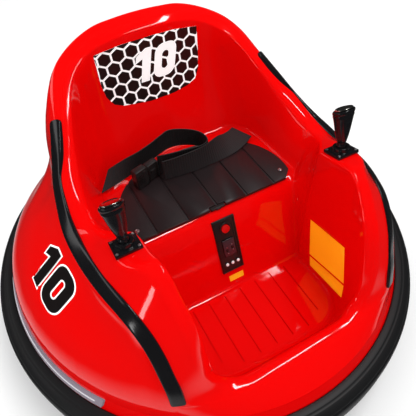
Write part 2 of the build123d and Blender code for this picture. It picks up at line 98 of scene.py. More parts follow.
def finish(name, colour, rough, grain=(40.0, 0.0001), **settings):
    """A Principled material with the grain group on its normal."""
    material = bpy.data.materials.new(name)
    material.use_nodes = True
    tree = material.node_tree
    shader = tree.nodes["Principled BSDF"]
    shader.inputs["Base Color"].default_value = (*colour, 1.0)
    shader.inputs["Roughness"].default_value = rough
    for key, value in settings.items():
        shader.inputs[key.replace("_", " ")].default_value = value
    group = tree.nodes.new("ShaderNodeGroup")
    group.node_tree = GRAIN
    group.inputs["Scale"].default_value = grain[0]
    group.inputs["Height"].default_value = grain[1]
    tree.links.new(group.outputs["Normal"], shader.inputs["Normal"])
    return material


RED = finish("red_shell", (0.80, 0.0012, 0.0012), 0.06, (14.0, 0.00010), Specular_IOR_Level=0.5)
BLACK_GLOSS = finish("black_trim", (0.006, 0.006, 0.007), 0.16, (30.0, 0.00006))
RING = finish("ring_foam", (0.0085, 0.0085, 0.0095), 0.50, (900.0, 0.00005))
BLACK = finish("black_plastic", (0.012, 0.010, 0.010), 0.38, (600.0, 0.00003))
SEAT = finish("seat_black", (0.016, 0.009, 0.010), 0.42, (700.0, 0.00004))
TREAD = finish("wheel_tread", (0.015, 0.015, 0.015), 0.6, (500.0, 0.0001))
STEEL = finish("steel", (0.55, 0.55, 0.57), 0.3, (300.0, 0.00002), Metallic=1.0)
SILVER = finish("silver_cap", (0.62, 0.60, 0.55), 0.2, (300.0, 0.00002), Metallic=1.0)
LENS = finish("lens", (0.46, 0.40, 0.47), 0.08, (60.0, 0.00005), Transmission_Weight=0.35, IOR=1.49)
BOARD = finish("lamp_board", (0.75, 0.72, 0.75), 0.4)
BUTTON = finish("button_red", (0.55, 0.004, 0.004), 0.15)
WEBBING = finish("webbing", (0.014, 0.014, 0.015), 0.7, (1500.0, 0.0002))
print("materials in the file, with those of the CAD nodes:", len(bpy.data.materials))

# %% [markdown]
# The CAD nodes come with their own names, so a table from the start of a name to a finish dresses
# them all. Their round faces are many small flats, which smooth shading hides.

# %% A finish for every CAD node
FINISHES = [
    (RED, "body_tub side_panel rear_shell lower_skirt"), (RING, "bumper_ring"), (LENS, "light_lens"),
    (BLACK_GLOSS, "trim_strip joystick_base joystick_grip panel_display"), (SEAT, "seat_plate"),
    (BLACK, "lower_pan control_panel gearbox drive_hub battery buckle_"), (TREAD, "drive_tyre caster_wheel"),
    (STEEL, "drive_axle caster_fork caster_pin panel_knobs"), (SILVER, "joystick_cap"), (WEBBING, "belt_"),
    (BOARD, "light_housing"), (BUTTON, "power_button"),
]
for name, node in NODES.items():
    node.data.materials.clear()
    for material, starts in FINISHES:
        if name.startswith(tuple(starts.split())):
            node.data.materials.append(material)
    for face in node.data.polygons:
        face.use_smooth = True
print("CAD nodes dressed:", len(NODES))

# %% [markdown]
# ## The red body from a net of stations
# The moulding is one flowing surface, so it is described the way a boat is: by stations. Each row
# below is one cross section of the left half, measured in millimetres, from the middle of the
# front lip round the fender and the arm to the middle of the seat back. Columns are the foot of
# the inner wall, the way that the floor runs from there, a point on the wall, the inner and the
# outer crest, the shoulder where the black strip lies, and the heights of the outer skin.

# %% Stations of the moulding
STATIONS = [
    ((0, -256, 95), (0, 1, 0), (0, -265, 122), (0, -274, 149), (0, -286, 151), (0, -295, 147), None),
    ((40, -256, 95), (0, 1, 0), (40, -265, 122), (40, -274, 149), (41, -286, 151), (44, -294, 147), None),
    ((78, -254, 95), (-.26, .97, 0), (79, -263, 122), (80, -272, 150), (84, -285, 151), (92, -291, 148), None),
    ((96, -246, 95), (-.57, .82, 0), (97, -255, 124), (98, -264, 153), (106, -276, 157), (126, -284, 150), None),
    ((107, -236, 95), (-.77, .64, 0), (108, -249, 135), (111, -261, 175), (123, -270, 184), (164, -270, 163),
     (159, 152, 145, 139, 132)),
    ((116, -221, 95), (-.93, .37, 0), (116, -239, 155), (114, -255, 214), (129, -262, 219), (164, -254, 210),
     (203, 192, 178, 160, 142)),
    ((120, -199, 95), (-1, 0, 0), (119, -219, 180), (116, -240, 265), (131, -245, 270), (168, -236, 243),
     (236, 222, 202, 176, 148)),
    ((120, -185, 95), (-1, 0, 0), (121, -201, 198), (121, -218, 301), (135, -220, 303), (174, -219, 262),
     (254, 240, 216, 185, 150)),
    ((120, -175, 95), (-1, 0, 0), (122, -188, 208), (123, -201, 322), (139, -201, 320), (181, -200, 271),
     (265, 252, 228, 192, 152)),
    ((120, -165, 95), (-1, 0, 0), (123, -176, 210), (126, -186, 328), (147, -184, 325), (187, -178, 275),
     (271, 258, 234, 196, 154)),
    ((120, -155, 95), (-1, 0, 0), (124, -159, 208), (129, -165, 323), (163, -163, 321), (192, -155, 276),
     (273, 260, 238, 198, 155)),
    ((120, -142, 95), (-1, 0, 0), (124, -142, 206), (130, -141, 316.5), (167, -141, 316), (196, -135, 277),
     (274, 262, 240, 200, 155)),
    ((119, -130, 95), (-1, 0, 0), (124, -125, 203), (133, -120, 310.5), (168, -118, 310), (197, -112, 278),
     (275, 263, 240, 200, 155)),
    ((120, -126, 98), (-1, 0, 0), (126, -121, 206), (136, -116, 309), (168, -114, 309), (197, -108, 278),
     (275, 263, 240, 200, 155)),
    ((122, -108, 150), (-1, 0, 0), (133, -106, 227), (146, -104, 303), (170, -100, 302), (197, -92, 279),
     (276, 264, 240, 200, 155)),
    ((127, -84, 218), (-1, 0, 0), (142, -85, 258), (160, -87, 295), (175, -84, 294), (197, -72, 280),
     (276, 264, 240, 200, 155)),
    ((137, -70, 228), (-1, 0, 0), (151, -68, 259), (167, -66, 288), (180, -64, 289), (196, -50, 284),
     (277, 265, 240, 200, 155)),
    ((138, -40, 228), (-1, 0, 0), (153, -38, 261), (169, -34, 289), (180, -33, 293), (193, -25, 292),
     (283, 268, 242, 200, 155)),
    ((138, 0, 228), (-1, 0, 0), (152, 2, 268), (163, 6, 304), (173, 8, 311), (187, 10, 309),
     (295, 277, 248, 203, 155)),
    ((138, 28, 228), (-1, 0, 0), (147, 34, 282), (152, 41, 333), (160, 45, 338), (175, 48, 333),
     (312, 285, 255, 207, 155)),
    ((132, 56, 228), (-.89, -.45, 0), (138, 64, 296), (140, 68, 357), (146, 76, 365), (161, 79, 358),
     (335, 298, 250, 200, 155)),
    ((114, 77, 228), (-.59, -.81, 0), (124, 91, 302), (127, 92, 379), (134, 100, 386), (151, 110, 379),
     (350, 306, 250, 195, 155)),
    ((96, 86, 228), (-.27, -.96, 0), (106, 109, 303), (109, 112, 394), (115.5, 121, 401), (133, 132.5, 397),
     (372, 318, 255, 195, 155)),
    ((74, 88, 228), (0, -1, 0), (84, 119, 303), (86, 123, 405.5), (91, 133, 413), (102, 147.5, 413.5),
     (394, 335, 265, 195, 155)),
    ((50, 88, 228), (0, -1, 0), (58, 119, 303), (60, 123, 413.5), (62, 134.5, 421.5), (66, 154, 425.5),
     (402, 340, 268, 195, 155)),
    ((26, 88, 228), (0, -1, 0), (32, 119, 303), (35, 122, 417.5), (36, 134, 425), (36, 154.5, 429),
     (407, 342, 270, 195, 155)),
    ((0, 88, 228), (0, -1, 0), (0, 119, 303), (0, 121, 419), (0, 133, 426), (0, 155.5, 430),
     (409, 343, 270, 195, 155)),
]
# Stations, counted from 0, where the floor ends, the strip starts, the seat starts, the strip ends
FLOOR_END, STRIP_START, SEAT_START, STRIP_END = 12, 4, 16, 20
print("stations:", len(STATIONS))

# %% [markdown]
# ### The outer skin
# Seen from above, the lower body is an oval that grows towards the floor, and the seat back is a
# narrower hump that stands in it. Tables give the size of both at each height. From a heart point
# inside the car one ray goes out through each shoulder point, and the skin lies where that ray
# leaves the larger of the two, with a soft change from one to the other as in a vacuum-formed shell.

# %% Tables of the outer skin, and smooth values between their rows
# Height, inset of the sides, of the front and of the rear of the round lower body
SAUCER = [(125.6, 8, 8, 8), (155, 16, 14, 26), (200, 44, 26, 80), (240, 84, 42, 128),
          (266, 108, 60, 156), (282, 124, 92, 184), (292, 160, 140, 240), (298, 230, 220, 300)]
# Height, half width and reach of the hump behind the seat back
HUMP = [(150, 204, 186), (230, 196, 168), (290, 185, 141), (350, 167, 107), (380, 149, 89),
        (400, 132, 77), (410, 121, 71), (420, 101, 64), (426, 72, 60), (430, 50, 53)]
# How far the arm bulges beyond the hump's half width, by y
ARM_BULGE = [(-300, -60), (-219, -16), (-200, -8), (-163, 5.5), (-118, 11), (-70, 11), (-25, 9.5),
             (15, 7), (50, 4), (100, 0)]
BODY_HALF_WIDTH, BODY_HALF_LENGTH = 321.7, 333.7
HUMP_MIDDLE, ARM_GUESS, ARM_ROUNDS = 100.0, 190.0, 20
SEAM_HEIGHT, BLEND = 125.6, 9.0
HEART = np.array([0.0, 60.0])


def between(x, table, column):
    """Smooth value from a table, with no overshoot between its rows."""
    xs = np.array([row[0] for row in table], float)
    ys = np.array([row[column] for row in table], float)
    steps = np.diff(xs)
    slopes = np.diff(ys) / steps
    tangents = np.zeros_like(ys)
    for i in range(1, len(xs) - 1):
        if slopes[i - 1] * slopes[i] > 0:
            before, after = 2 * steps[i] + steps[i - 1], steps[i] + 2 * steps[i - 1]
            tangents[i] = (before + after) / (before / slopes[i - 1] + after / slopes[i])
    tangents[0], tangents[-1] = slopes[0], slopes[-1]
    x = min(max(x, xs[0]), xs[-1])
    i = max(0, min(int(np.searchsorted(xs, x)) - 1, len(steps) - 1))
    t = (x - xs[i]) / steps[i]
    return ((1 + 2 * t) * (1 - t) ** 2 * ys[i] + t * (1 - t) ** 2 * steps[i] * tangents[i]
            + t * t * (3 - 2 * t) * ys[i + 1] + t * t * (t - 1) * steps[i] * tangents[i + 1])


print("heights in the tables:", len(SAUCER), len(HUMP))

# %% Distance of the outer skin from the heart


def reach_to_oval(way, half_width, half_length, middle):
    """Distance from HEART along a way in plan to an oval centred on (0, middle)."""
    x, y = HEART[0], HEART[1] - middle
    a = (way[0] / half_width) ** 2 + (way[1] / half_length) ** 2
    b = 2 * (x * way[0] / half_width ** 2 + y * way[1] / half_length ** 2)
    c = (x / half_width) ** 2 + (y / half_length) ** 2 - 1
    inside = b * b - 4 * a * c
    return 0.0 if inside <= 0 else max(0.0, (-b + math.sqrt(inside)) / (2 * a))


def saucer_reach(way, height):
    """Distance to the round lower body at a height."""
    side, front, rear = (between(height, SAUCER, column) for column in (1, 2, 3))
    low, high = front - BODY_HALF_LENGTH, BODY_HALF_LENGTH - rear
    if high <= low:
        return 0.0
    return reach_to_oval(way, BODY_HALF_WIDTH - side, (high - low) / 2, (high + low) / 2)


def upper_reach(way, height):
    """Distance to the side of the arm, or to the hump behind it."""
    half_width, reach = between(height, HUMP, 1), between(height, HUMP, 2)
    distance = reach_to_oval(way, half_width, reach, HUMP_MIDDLE)
    if HEART[1] + distance * way[1] > HUMP_MIDDLE or way[0] < 0.2:
        return distance
    distance = ARM_GUESS
    for _ in range(ARM_ROUNDS):  # each reads the bulge where the last one ended
        y = HEART[1] + distance * way[1]
        distance = (half_width + between(y, ARM_BULGE, 1)) / way[0]
    return distance


def outer_skin(shoulder, heights):
    """Points below a shoulder point, the last on the seam with the skirt."""
    start = np.array(shoulder, float)
    way = start[:2] - HEART
    way /= np.linalg.norm(way)
    seam = np.array([*(HEART + way * saucer_reach(way, SEAM_HEIGHT)), SEAM_HEIGHT])
    points = []
    if heights is None:
        for part in (0.15, 0.35, 0.55, 0.75, 0.9):
            point = start + (seam - start) * part
            point[2] += 3.0 * math.sin(math.pi * part)
            points.append(point)
    else:
        for height in heights:
            reaches = np.array([saucer_reach(way, height), upper_reach(way, height)])
            most = reaches.max()
            blend = most + BLEND * math.log(np.exp((reaches - most) / BLEND).sum())
            points.append(np.array([*(HEART + way * blend), height]))
    return points + [seam]


print("skin's reach to the side in mm, at the seam:", round(saucer_reach((1.0, 0.0), SEAM_HEIGHT), 1))

# %% [markdown]
# ### Curves through the stations
# Between two stations the surface has to flow. A centripetal Catmull-Rom curve runs exactly through
# its points and makes no loops where they lie close together, so it suits listed points better
# than a free B-spline. At the middle of the car the mirrored station stands in for the next one.

# %% A net of six rows for each station


def smooth_rows(rows, steps, first=None, last=None):
    """Curves through rows of points, with that many steps between two rows."""
    rows = np.asarray(rows, float)
    first = 2 * rows[0] - rows[1] if first is None else first
    last = 2 * rows[-1] - rows[-2] if last is None else last
    chain = np.concatenate([first[None], rows, last[None]])

    def knot_gap(a, b):
        return np.maximum(np.sqrt(np.sqrt(((a - b) ** 2).sum(-1, keepdims=True))), 1e-4)

    out = []
    for i in range(len(rows) - 1):
        p0, p1, p2, p3 = chain[i:i + 4]
        t1 = knot_gap(p0, p1)
        t2 = t1 + knot_gap(p1, p2)
        t3 = t2 + knot_gap(p2, p3)
        for step in range(steps):
            t = t1 + (t2 - t1) * step / steps
            a1 = (t1 - t) / t1 * p0 + t / t1 * p1
            a2 = (t2 - t) / (t2 - t1) * p1 + (t - t1) / (t2 - t1) * p2
            a3 = (t3 - t) / (t3 - t2) * p2 + (t - t2) / (t3 - t2) * p3
            b1 = (t2 - t) / t2 * a1 + t / t2 * a2
            b2 = (t3 - t) / (t3 - t1) * a2 + (t - t1) / (t3 - t1) * a3
            out.append((t2 - t) / (t2 - t1) * b1 + (t - t1) / (t2 - t1) * b2)
    out.append(rows[-1])
    return np.array(out)


STEPS = 6
MIRROR = np.array([-1.0, 1.0, 1.0])
coarse = []
for foot, way, wall, inner, outer, shoulder, heights in STATIONS:
    row = [np.array(point, float) for point in (foot, way, wall, inner, outer, shoulder)]
    coarse.append(np.array(row + outer_skin(shoulder, heights)))
NET = smooth_rows(coarse, STEPS, coarse[1] * MIRROR, coarse[-2] * MIRROR)
print("net of the body:", NET.shape)

# %% [markdown]
# ### Cross sections
# Crests get a round of 6 to 8 mm, or 2.6 mm on top of the seat back, and the foot of the wall a
# fillet, by bending each cross section before it is meshed. The same cross sections then give the
# moulding, the side panels, the rear shell and the strip, so the pieces meet exactly.

# %% Round corners, and the two halves of each cross section


def toward(start, end, distance):
    """A point that far along a gap, but never past its middle."""
    gap = end - start
    length = np.linalg.norm(gap)
    return start + gap * min(distance / max(length, 1e-6), 0.45)


def bend(start, corner, end, count):
    """A round corner."""
    t = np.linspace(0, 1, count)[:, None]
    return (1 - t) ** 2 * start + 2 * t * (1 - t) * corner + t ** 2 * end


FILLET, CREST_ROUND, OUTER_ROUND, RIM_ROUND = 9.0, 6.0, 8.0, 2.6


def rounding(height, wide):
    """The seat back has crisper crests than the arms."""
    return wide + (RIM_ROUND - wide) * min(max((height - 335.0) / 40.0, 0.0), 1.0)


def inner_section(row):
    """From the floor up the wall and over the crests, to the last point before the shoulder."""
    crest_round, outer_round = rounding(row[4][2], CREST_ROUND), rounding(row[4][2], OUTER_ROUND)
    foot, way, wall, inner, outer, shoulder = row[:6]
    way = way / np.linalg.norm(way)
    low = toward(foot, wall, FILLET)
    high = toward(inner, wall, crest_round)
    fillet = bend(foot + way * FILLET, foot, low, 5)
    side = bend(low, 2 * wall - (low + high) / 2, high, 7)
    crest = bend(high, inner, toward(inner, outer, crest_round), 6)
    edge = bend(toward(outer, inner, outer_round), outer, toward(outer, shoulder, outer_round), 6)
    return np.concatenate([fillet, side[1:], crest[1:], edge])


def skin_section(row):
    """From the last point before the shoulder, over the shoulder, down to the seam."""
    before = toward(row[4], row[5], rounding(row[4][2], OUTER_ROUND))
    chain = np.concatenate([before[None], row[5:]])
    return smooth_rows(chain, 4, first=row[4])


INNER = np.array([inner_section(row) for row in NET])
SKIN = np.array([skin_section(row) for row in NET])
SHOULDER = 4
LEFT_SECTIONS = np.concatenate([INNER, SKIN[:, 1:]], axis=1)
TO_SHOULDER = INNER.shape[1] + SHOULDER
print("points on a section:", LEFT_SECTIONS.shape[1])

# %% [markdown]
# ### How a piece is finished
# Every shell, sticker and stud ends the same way: points that already stand in the car's own frame,
# faces, a finish, the body that carries it, and the CAD nodes that it stands for. Points could be
# placed by moving the object, but then patterns in object coordinates would slide. A thin wall is
# left to Solidify, because a skin of single faces is easier to shape than two that must match.

# %% From points to a finished piece
SIDES = (("left", 1.0), ("right", -1.0))
MM = 0.001


def mirrored(points, side):
    """Points of the left half of the car, or with side -1 their mirror image."""
    return np.asarray(points, float) * np.array([side, 1.0, 1.0])


def shifted(faces, count):
    """Faces whose points come after count others."""
    return [tuple(v + count for v in face) for face in faces]


def mark_border(mesh):
    """Open edges become sharp, so that a wall's rim is crisp."""
    used = {}
    for face in mesh.polygons:
        for key in face.edge_keys:
            used[key] = used.get(key, 0) + 1
    for edge in mesh.edges:
        edge.use_edge_sharp = used.get(tuple(sorted(edge.vertices)), 0) == 1


def plain_object(name, points, faces, flat=()):
    """An object with a mesh, points in millimetres, smooth but for its flat faces."""
    mesh = bpy.data.meshes.new(name)
    mesh.from_pydata([tuple(p * MM) for p in np.asarray(points, float)], [], faces)
    mesh.validate()
    flat = set(flat)
    for face in mesh.polygons:
        face.use_smooth = face.index not in flat
    piece = bpy.data.objects.new(name, mesh)
    bpy.context.scene.collection.objects.link(piece)
    return piece


def carried(piece, body, nodes=(), slot=None):
    """Rides a finished piece on its body, in place of CAD nodes."""
    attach(piece, body)
    if nodes:
        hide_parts(*nodes)
    return piece


def mesh_piece(name, points, faces, material, body, nodes=(), slot=None, thickness=0.0, flat=()):
    """A finished mesh that stands for CAD nodes, points in millimetres."""
    piece = plain_object(name, points, faces, flat)
    piece.data.materials.append(material)
    if thickness:
        mark_border(piece.data)
        wall = piece.modifiers.new("wall", "SOLIDIFY")
        wall.thickness = thickness * MM
        wall.offset = -1.0
        wall.use_even_offset = False
    return carried(piece, body, nodes, slot)


print("sides:", [name for name, _ in SIDES])

# %% [markdown]
# ### Faces by rule
# Most pieces here are rows of points, so their faces can be numbered by a rule: a grid, a tube with
# two caps, or a hoop that closes on itself. Where two parts of one piece meet, their points are
# joined. Merge by Distance does that too, but in plain lists the flat faces are easy to find after it.

# %% Grids, tubes, hoops and welds


def grid_faces(rows, columns, flip=False):
    """Quads of a grid whose points are numbered row by row."""
    faces = []
    for i in range(rows - 1):
        for j in range(columns - 1):
            a = i * columns + j
            quad = (a, a + 1, a + columns + 1, a + columns)
            faces.append(quad[::-1] if flip else quad)
    return faces


def tube_faces(rings, count):
    """Quads between rings of count points each, and a cap on both ends."""
    quads = [(i * count + j, i * count + (j + 1) % count, (i + 1) * count + (j + 1) % count, (i + 1) * count + j)
             for i in range(rings - 1) for j in range(count)]
    return quads + [tuple(range(count - 1, -1, -1)), tuple(range((rings - 1) * count, rings * count))]


def hoop_faces(rings, count):
    """Quads of a tube that closes on itself."""
    return [(i * count + j, (i + 1) % rings * count + j, (i + 1) % rings * count + (j + 1) % count,
             i * count + (j + 1) % count) for i in range(rings) for j in range(count)]


def weld(points, faces, limit=0.02):
    """Joins points that lie within limit of each other, and drops collapsed faces."""
    keys, index, kept = {}, [], []
    for point in points:
        key = tuple(np.round(point / limit).astype(int))
        found = None
        for dx in (0, -1, 1):
            for dy in (0, -1, 1):
                for dz in (0, -1, 1):
                    found = keys.get((key[0] + dx, key[1] + dy, key[2] + dz), found)
        if found is None:
            found = len(kept)
            kept.append(point)
            keys[key] = found
        index.append(found)
    out = []
    for face in faces:
        ring = []
        for corner in (index[v] for v in face):
            if not ring or ring[-1] != corner:
                ring.append(corner)
        if ring[0] == ring[-1]:
            ring.pop()
        if len(set(ring)) > 2:
            out.append(tuple(ring))
    return np.array(kept), out


print("faces of a grid of 3 by 3 points:", len(grid_faces(3, 3)))

# %% [markdown]
# ### Flat faces with holes
# The floor has seven grooves and a screw head has a cross. Both are flat faces with holes, and a
# Delaunay triangulation fills such an outline exactly. A Boolean would do too, but leaves long thin
# faces and is slower. Extra points on a grid let a sticker bend with the surface under it.

# %% Filling an outline
from mathutils import Matrix, Quaternion, Vector
from mathutils.bvhtree import BVHTree
from mathutils.geometry import delaunay_2d_cdt


def filled(outline, holes=(), pitch=None):
    """Triangles inside an outline and outside its holes, in plan, over a grid of inner points."""
    rings = [outline] + list(holes)
    points = [Vector(p) for ring in rings for p in ring]
    faces, count = [], 0
    for ring in rings:
        faces.append(list(range(count, count + len(ring))))
        count += len(ring)
    if pitch:
        low, high = np.min(outline, axis=0), np.max(outline, axis=0)
        points += [Vector((x, y)) for x in np.arange(low[0] + pitch / 2, high[0], pitch)
                   for y in np.arange(low[1] + pitch / 2, high[1], pitch)]
    found, _, triangles, _, _, sources = delaunay_2d_cdt(points, [], faces, 2, 1e-5)
    kept = [tuple(t) for t, source in zip(triangles, sources) if list(source) == [0]]
    return [tuple(p) for p in found], kept

# %% [markdown]
# ### The moulding
# The red middle of the real car is one moulding: seat, footwell and arms. Walls and crests come
# from the sections. A ladder of flat rungs makes the front of the seat box, and two filled outlines
# make the seat and the floor, whose grooves are holes with a wall and a bottom of their own.

# %% The moulding
GROOVE_COUNT, GROOVE_PITCH, GROOVE_WIDTH, GROOVE_DEPTH = 7, 28.0, 2.2, 2.4
GROOVE_FRONT, GROOVE_REAR, GROOVE_SHORTER = -242.0, -136.0, 14.0
MOULDING_WALL = 3.5


def groove_outline(x):
    """A slot with round ends, shorter where the front corner of the floor is round."""
    half = GROOVE_WIDTH / 2
    ends = []
    front = GROOVE_FRONT + GROOVE_SHORTER * max(0.0, abs(x) / GROOVE_PITCH - 2.0)
    for middle, start in ((GROOVE_REAR - half, 0.0), (front + half, math.pi)):
        for step in range(5):
            angle = start + math.pi * step / 4
            ends.append((x + half * math.cos(angle), middle + half * math.sin(angle)))
    return ends


def make_moulding():
    """Points, faces and the faces to leave flat."""
    blocks, faces = [], []

    def add(points, new_faces):
        faces.extend(shifted(new_faces, sum(len(block) for block in blocks)))
        blocks.append(np.asarray(points, float).reshape(-1, 3))

    whole = STRIP_START * STEPS
    for _, side in SIDES:
        for part in (LEFT_SECTIONS[:whole + 1], LEFT_SECTIONS[whole:, :TO_SHOULDER]):
            add(mirrored(part, side), grid_faces(part.shape[0], part.shape[1], flip=side < 0))
    ladder = INNER[FLOOR_END * STEPS:SEAT_START * STEPS + 1, 0]
    columns = np.linspace(1.0, -1.0, 9)
    add([[(p[0] * c, p[1], p[2]) for c in columns] for p in ladder],
        grid_faces(len(ladder), len(columns), flip=True))

    floor_line = INNER[:FLOOR_END * STEPS + 1, 0]
    outline = [(p[0], p[1]) for p in floor_line] + [(-p[0], p[1]) for p in floor_line[:0:-1]]
    holes = [groove_outline((i - (GROOVE_COUNT - 1) / 2) * GROOVE_PITCH) for i in range(GROOVE_COUNT)]
    found, triangles = filled(outline, holes)
    height = floor_line[0][2]
    add([(x, y, height) for x, y in found], triangles)
    for hole in holes:
        n = len(hole)
        points = [(x, y, z) for z in (height, height - GROOVE_DEPTH) for x, y in hole]
        walls = [(i, (i + 1) % n, n + (i + 1) % n, n + i) for i in range(n)]
        add(points, walls + [tuple(range(n, 2 * n))])

    seat_line = INNER[SEAT_START * STEPS:, 0]
    seat = list(seat_line) + list(mirrored(seat_line[-2::-1], -1.0))
    add(seat, [tuple(range(len(seat)))])
    points, faces = weld(np.concatenate(blocks), faces)
    flat = [i for i, face in enumerate(faces)
            if len(face) != 4 and len({round(points[v][2], 3) for v in face}) == 1
            and len({points[v][0] for v in face}) > 1]
    return points, faces, flat


points, faces, flat = make_moulding()
moulding = mesh_piece("moulding", points, faces, RED, "car", ["body_tub"], "red_shell", MOULDING_WALL, flat)
print("moulding faces:", len(faces))

# %% [markdown]
# ### Side panels and rear shell
# Below the black strip the real body is a second shell, split at the sides and closed behind the
# seat. It continues the same net. These walls are built with both faces and a rim, not with
# Solidify, so that the panel edges stay straight where two shells meet. Each corner then takes its
# normal from the surface itself, which keeps the gloss calm over the seam.

# %% Panels and rear shell
PANEL_WALL = 3.5


def grid_normals(points):
    """Unit normals of a grid of points, rows by columns."""
    normals = np.cross(np.gradient(points, axis=1), np.gradient(points, axis=0))
    return normals / np.maximum(np.linalg.norm(normals, axis=-1, keepdims=True), 1e-9)


LOWER_SKIN = SKIN[:, SHOULDER:]
SKIN_NORMALS = grid_normals(LOWER_SKIN)
for end in (0, -1):
    SKIN_NORMALS[end, :, 0] = 0.0
    SKIN_NORMALS[end] /= np.linalg.norm(SKIN_NORMALS[end], axis=-1, keepdims=True)


def skin_shell(start, end, side):
    """Points, faces, rim and corner normals of a wall of even thickness, between two fine stations."""
    rows, columns = end - start + 1, LOWER_SKIN.shape[1]
    outer = mirrored(LOWER_SKIN[start:end + 1], side).reshape(-1, 3)
    ways = mirrored(SKIN_NORMALS[start:end + 1], side).reshape(-1, 3)
    quads = grid_faces(rows, columns, flip=side < 0)
    back = shifted([quad[::-1] for quad in quads], len(outer))
    edge = list(range(columns)) + [i * columns + columns - 1 for i in range(1, rows)]
    edge += [(rows - 1) * columns + j for j in range(columns - 2, -1, -1)]
    edge += [i * columns for i in range(rows - 2, 0, -1)]
    rim = [(b, a, a + len(outer), b + len(outer)) for a, b in zip(edge, edge[1:] + edge[:1])]
    rim = [quad[::-1] for quad in rim] if side < 0 else rim
    return np.concatenate([outer, outer - ways * PANEL_WALL]), quads + back, rim, np.concatenate([ways, -ways])


def shell_piece(name, points, quads, rim, normals, nodes):
    """A red shell whose faces take their corner normals from the skin, while its rim keeps its own."""
    piece = mesh_piece(name, points, quads + rim, RED, "car", nodes, "red_shell", 0.0,
                       range(len(quads), len(quads) + len(rim)))
    piece.data.normals_split_custom_set(
        [tuple(normals[v]) if face.index < len(quads) else (0.0, 0.0, 0.0)
         for face in piece.data.polygons for v in face.vertices])
    return piece


side_skins = [shell_piece("side_skin_" + name, *skin_shell(STRIP_START * STEPS, STRIP_END * STEPS, side),
                          ["side_panel_" + name]) for name, side in SIDES]

halves = [skin_shell(STRIP_END * STEPS, len(SKIN) - 1, side) for _, side in SIDES]
points, normals = (np.concatenate([half[k] for half in halves]) for k in (0, 3))
quads, rim = (halves[0][k] + shifted(halves[1][k], len(halves[0][0])) for k in (1, 2))
# The two halves meet in the middle, so they have no rim there
rim = [face for face in rim if any(abs(points[v][0]) >= 0.01 for v in face)]
rear_skin = shell_piece("rear_skin", points, quads, rim, normals, ["rear_shell"])
print("shells made:", len(side_skins) + 1)

# %% [markdown]
# ### Black strips
# A flat soft strip is glued along each arm, over the joint of the two shells, and down the fender.
# Its middle line is a row of points, each with the way that the strip faces there. A curve with a
# bevel could follow such a line, but would sink into the body where that bends, so rays find the
# body under the strip first. The strip then keeps just above it, a little calmer than the body.

# %% Line of the left strip: a point and the way it faces, from the top end down
STRIP_LINE = [((161.7, 74.6, 355.7), (.62, -.25, .74)), ((176.4, 42.9, 329.7), (.65, -.18, .74)),
              ((189.5, 14.5, 303.5), (.64, -.10, .76)), ((198.7, -30.1, 286), (.55, -.05, .83)),
              ((200, -55.3, 281.2), (.50, -.05, .86)), ((198.6, -82.7, 278.7), (.52, -.05, .85)),
              ((195.5, -112.2, 279.4), (.55, -.08, .83)), ((190.1, -142.9, 281.5), (.58, -.16, .80)),
              ((184.2, -169.5, 281.4), (.58, -.25, .77)), ((177.6, -194.6, 278.3), (.54, -.42, .73)),
              ((172.6, -213, 269.5), (.47, -.60, .64)), ((168.6, -228.3, 255.4), (.42, -.71, .56)),
              ((166.2, -240, 236), (.38, -.78, .50)), ((164.8, -250.5, 210), (.36, -.83, .42)),
              ((164, -261.5, 186), (.36, -.87, .33)), ((164.4, -269, 161), (.36, -.90, .25))]
STRIP_HALF, STRIP_STAND, STRIP_EDGE, STRIP_CORNERS = 9.5, 2.6, 1.2, (6.0, 3.0)
STRIP_SPREAD = np.linspace(-1.0, 1.0, 9)
RAY_START, RAY_LENGTH, RAY_MISSED = 15.0, 40.0, -4.0
# How far along the strip the body is averaged, and how much of its tilt and dome the strip takes
BLUR_BODY, BLUR_LEVEL, BLUR_SHAPE, TAKEN_TILT, TAKEN_DOME, LEAST_DOME = 6.0, 14.0, 25.0, 0.35, 0.3, -0.3
STRIP_SUNK = 0.8
print("points on the strip's line:", len(STRIP_LINE))

# %% Reading the body under the strip


def body_surface(objects):
    """The finished surface of several objects, in millimetres, for rays."""
    graph = bpy.context.evaluated_depsgraph_get()
    points, faces = [], []
    for piece in objects:
        whole = piece.evaluated_get(graph)
        mesh = whole.to_mesh()
        start = len(points)
        points += [v.co / MM for v in mesh.vertices]
        faces += [tuple(i + start for i in face.vertices) for face in mesh.polygons]
        whole.to_mesh_clear()
    return BVHTree.FromPolygons(points, faces)


def blurred(values, stops, reach):
    """Values averaged along the run."""
    weights = np.exp(-0.5 * ((stops[:, None] - stops[None, :]) / reach) ** 2) * np.gradient(stops)[None, :]
    return (weights / weights.sum(axis=1, keepdims=True)) @ values


def at_stops(stops, run, rows):
    """Rows of points read off at stops along a run."""
    return np.stack([np.interp(stops, run, rows[:, k]) for k in range(rows.shape[1])], -1)


def run_along(rows):
    """Distance from the first of the points to each of them."""
    return np.concatenate([[0.0], np.cumsum(np.linalg.norm(np.diff(rows, axis=0), axis=1))])


def unit(rows):
    return rows / np.linalg.norm(rows, axis=1, keepdims=True)


def strip_frames():
    """Stops along the strip, and its middle line, ways across and facings there."""
    fine = smooth_rows(np.array(STRIP_LINE), 12)
    run = run_along(fine[:, 0])
    ends = np.array([0.05, 0.3, 0.8, 1.5, 2.4, 3.6, 5.0, 6.5, 8.0])
    stops = np.concatenate([ends, np.arange(11.0, run[-1] - 10.0, 3.0), run[-1] - ends[::-1]])
    line = at_stops(stops, run, fine[:, 0])
    along = unit(np.gradient(line, stops, axis=0))
    across = unit(np.cross(at_stops(stops, run, fine[:, 1]), along))
    return stops, run[-1], line, across, np.cross(along, across)


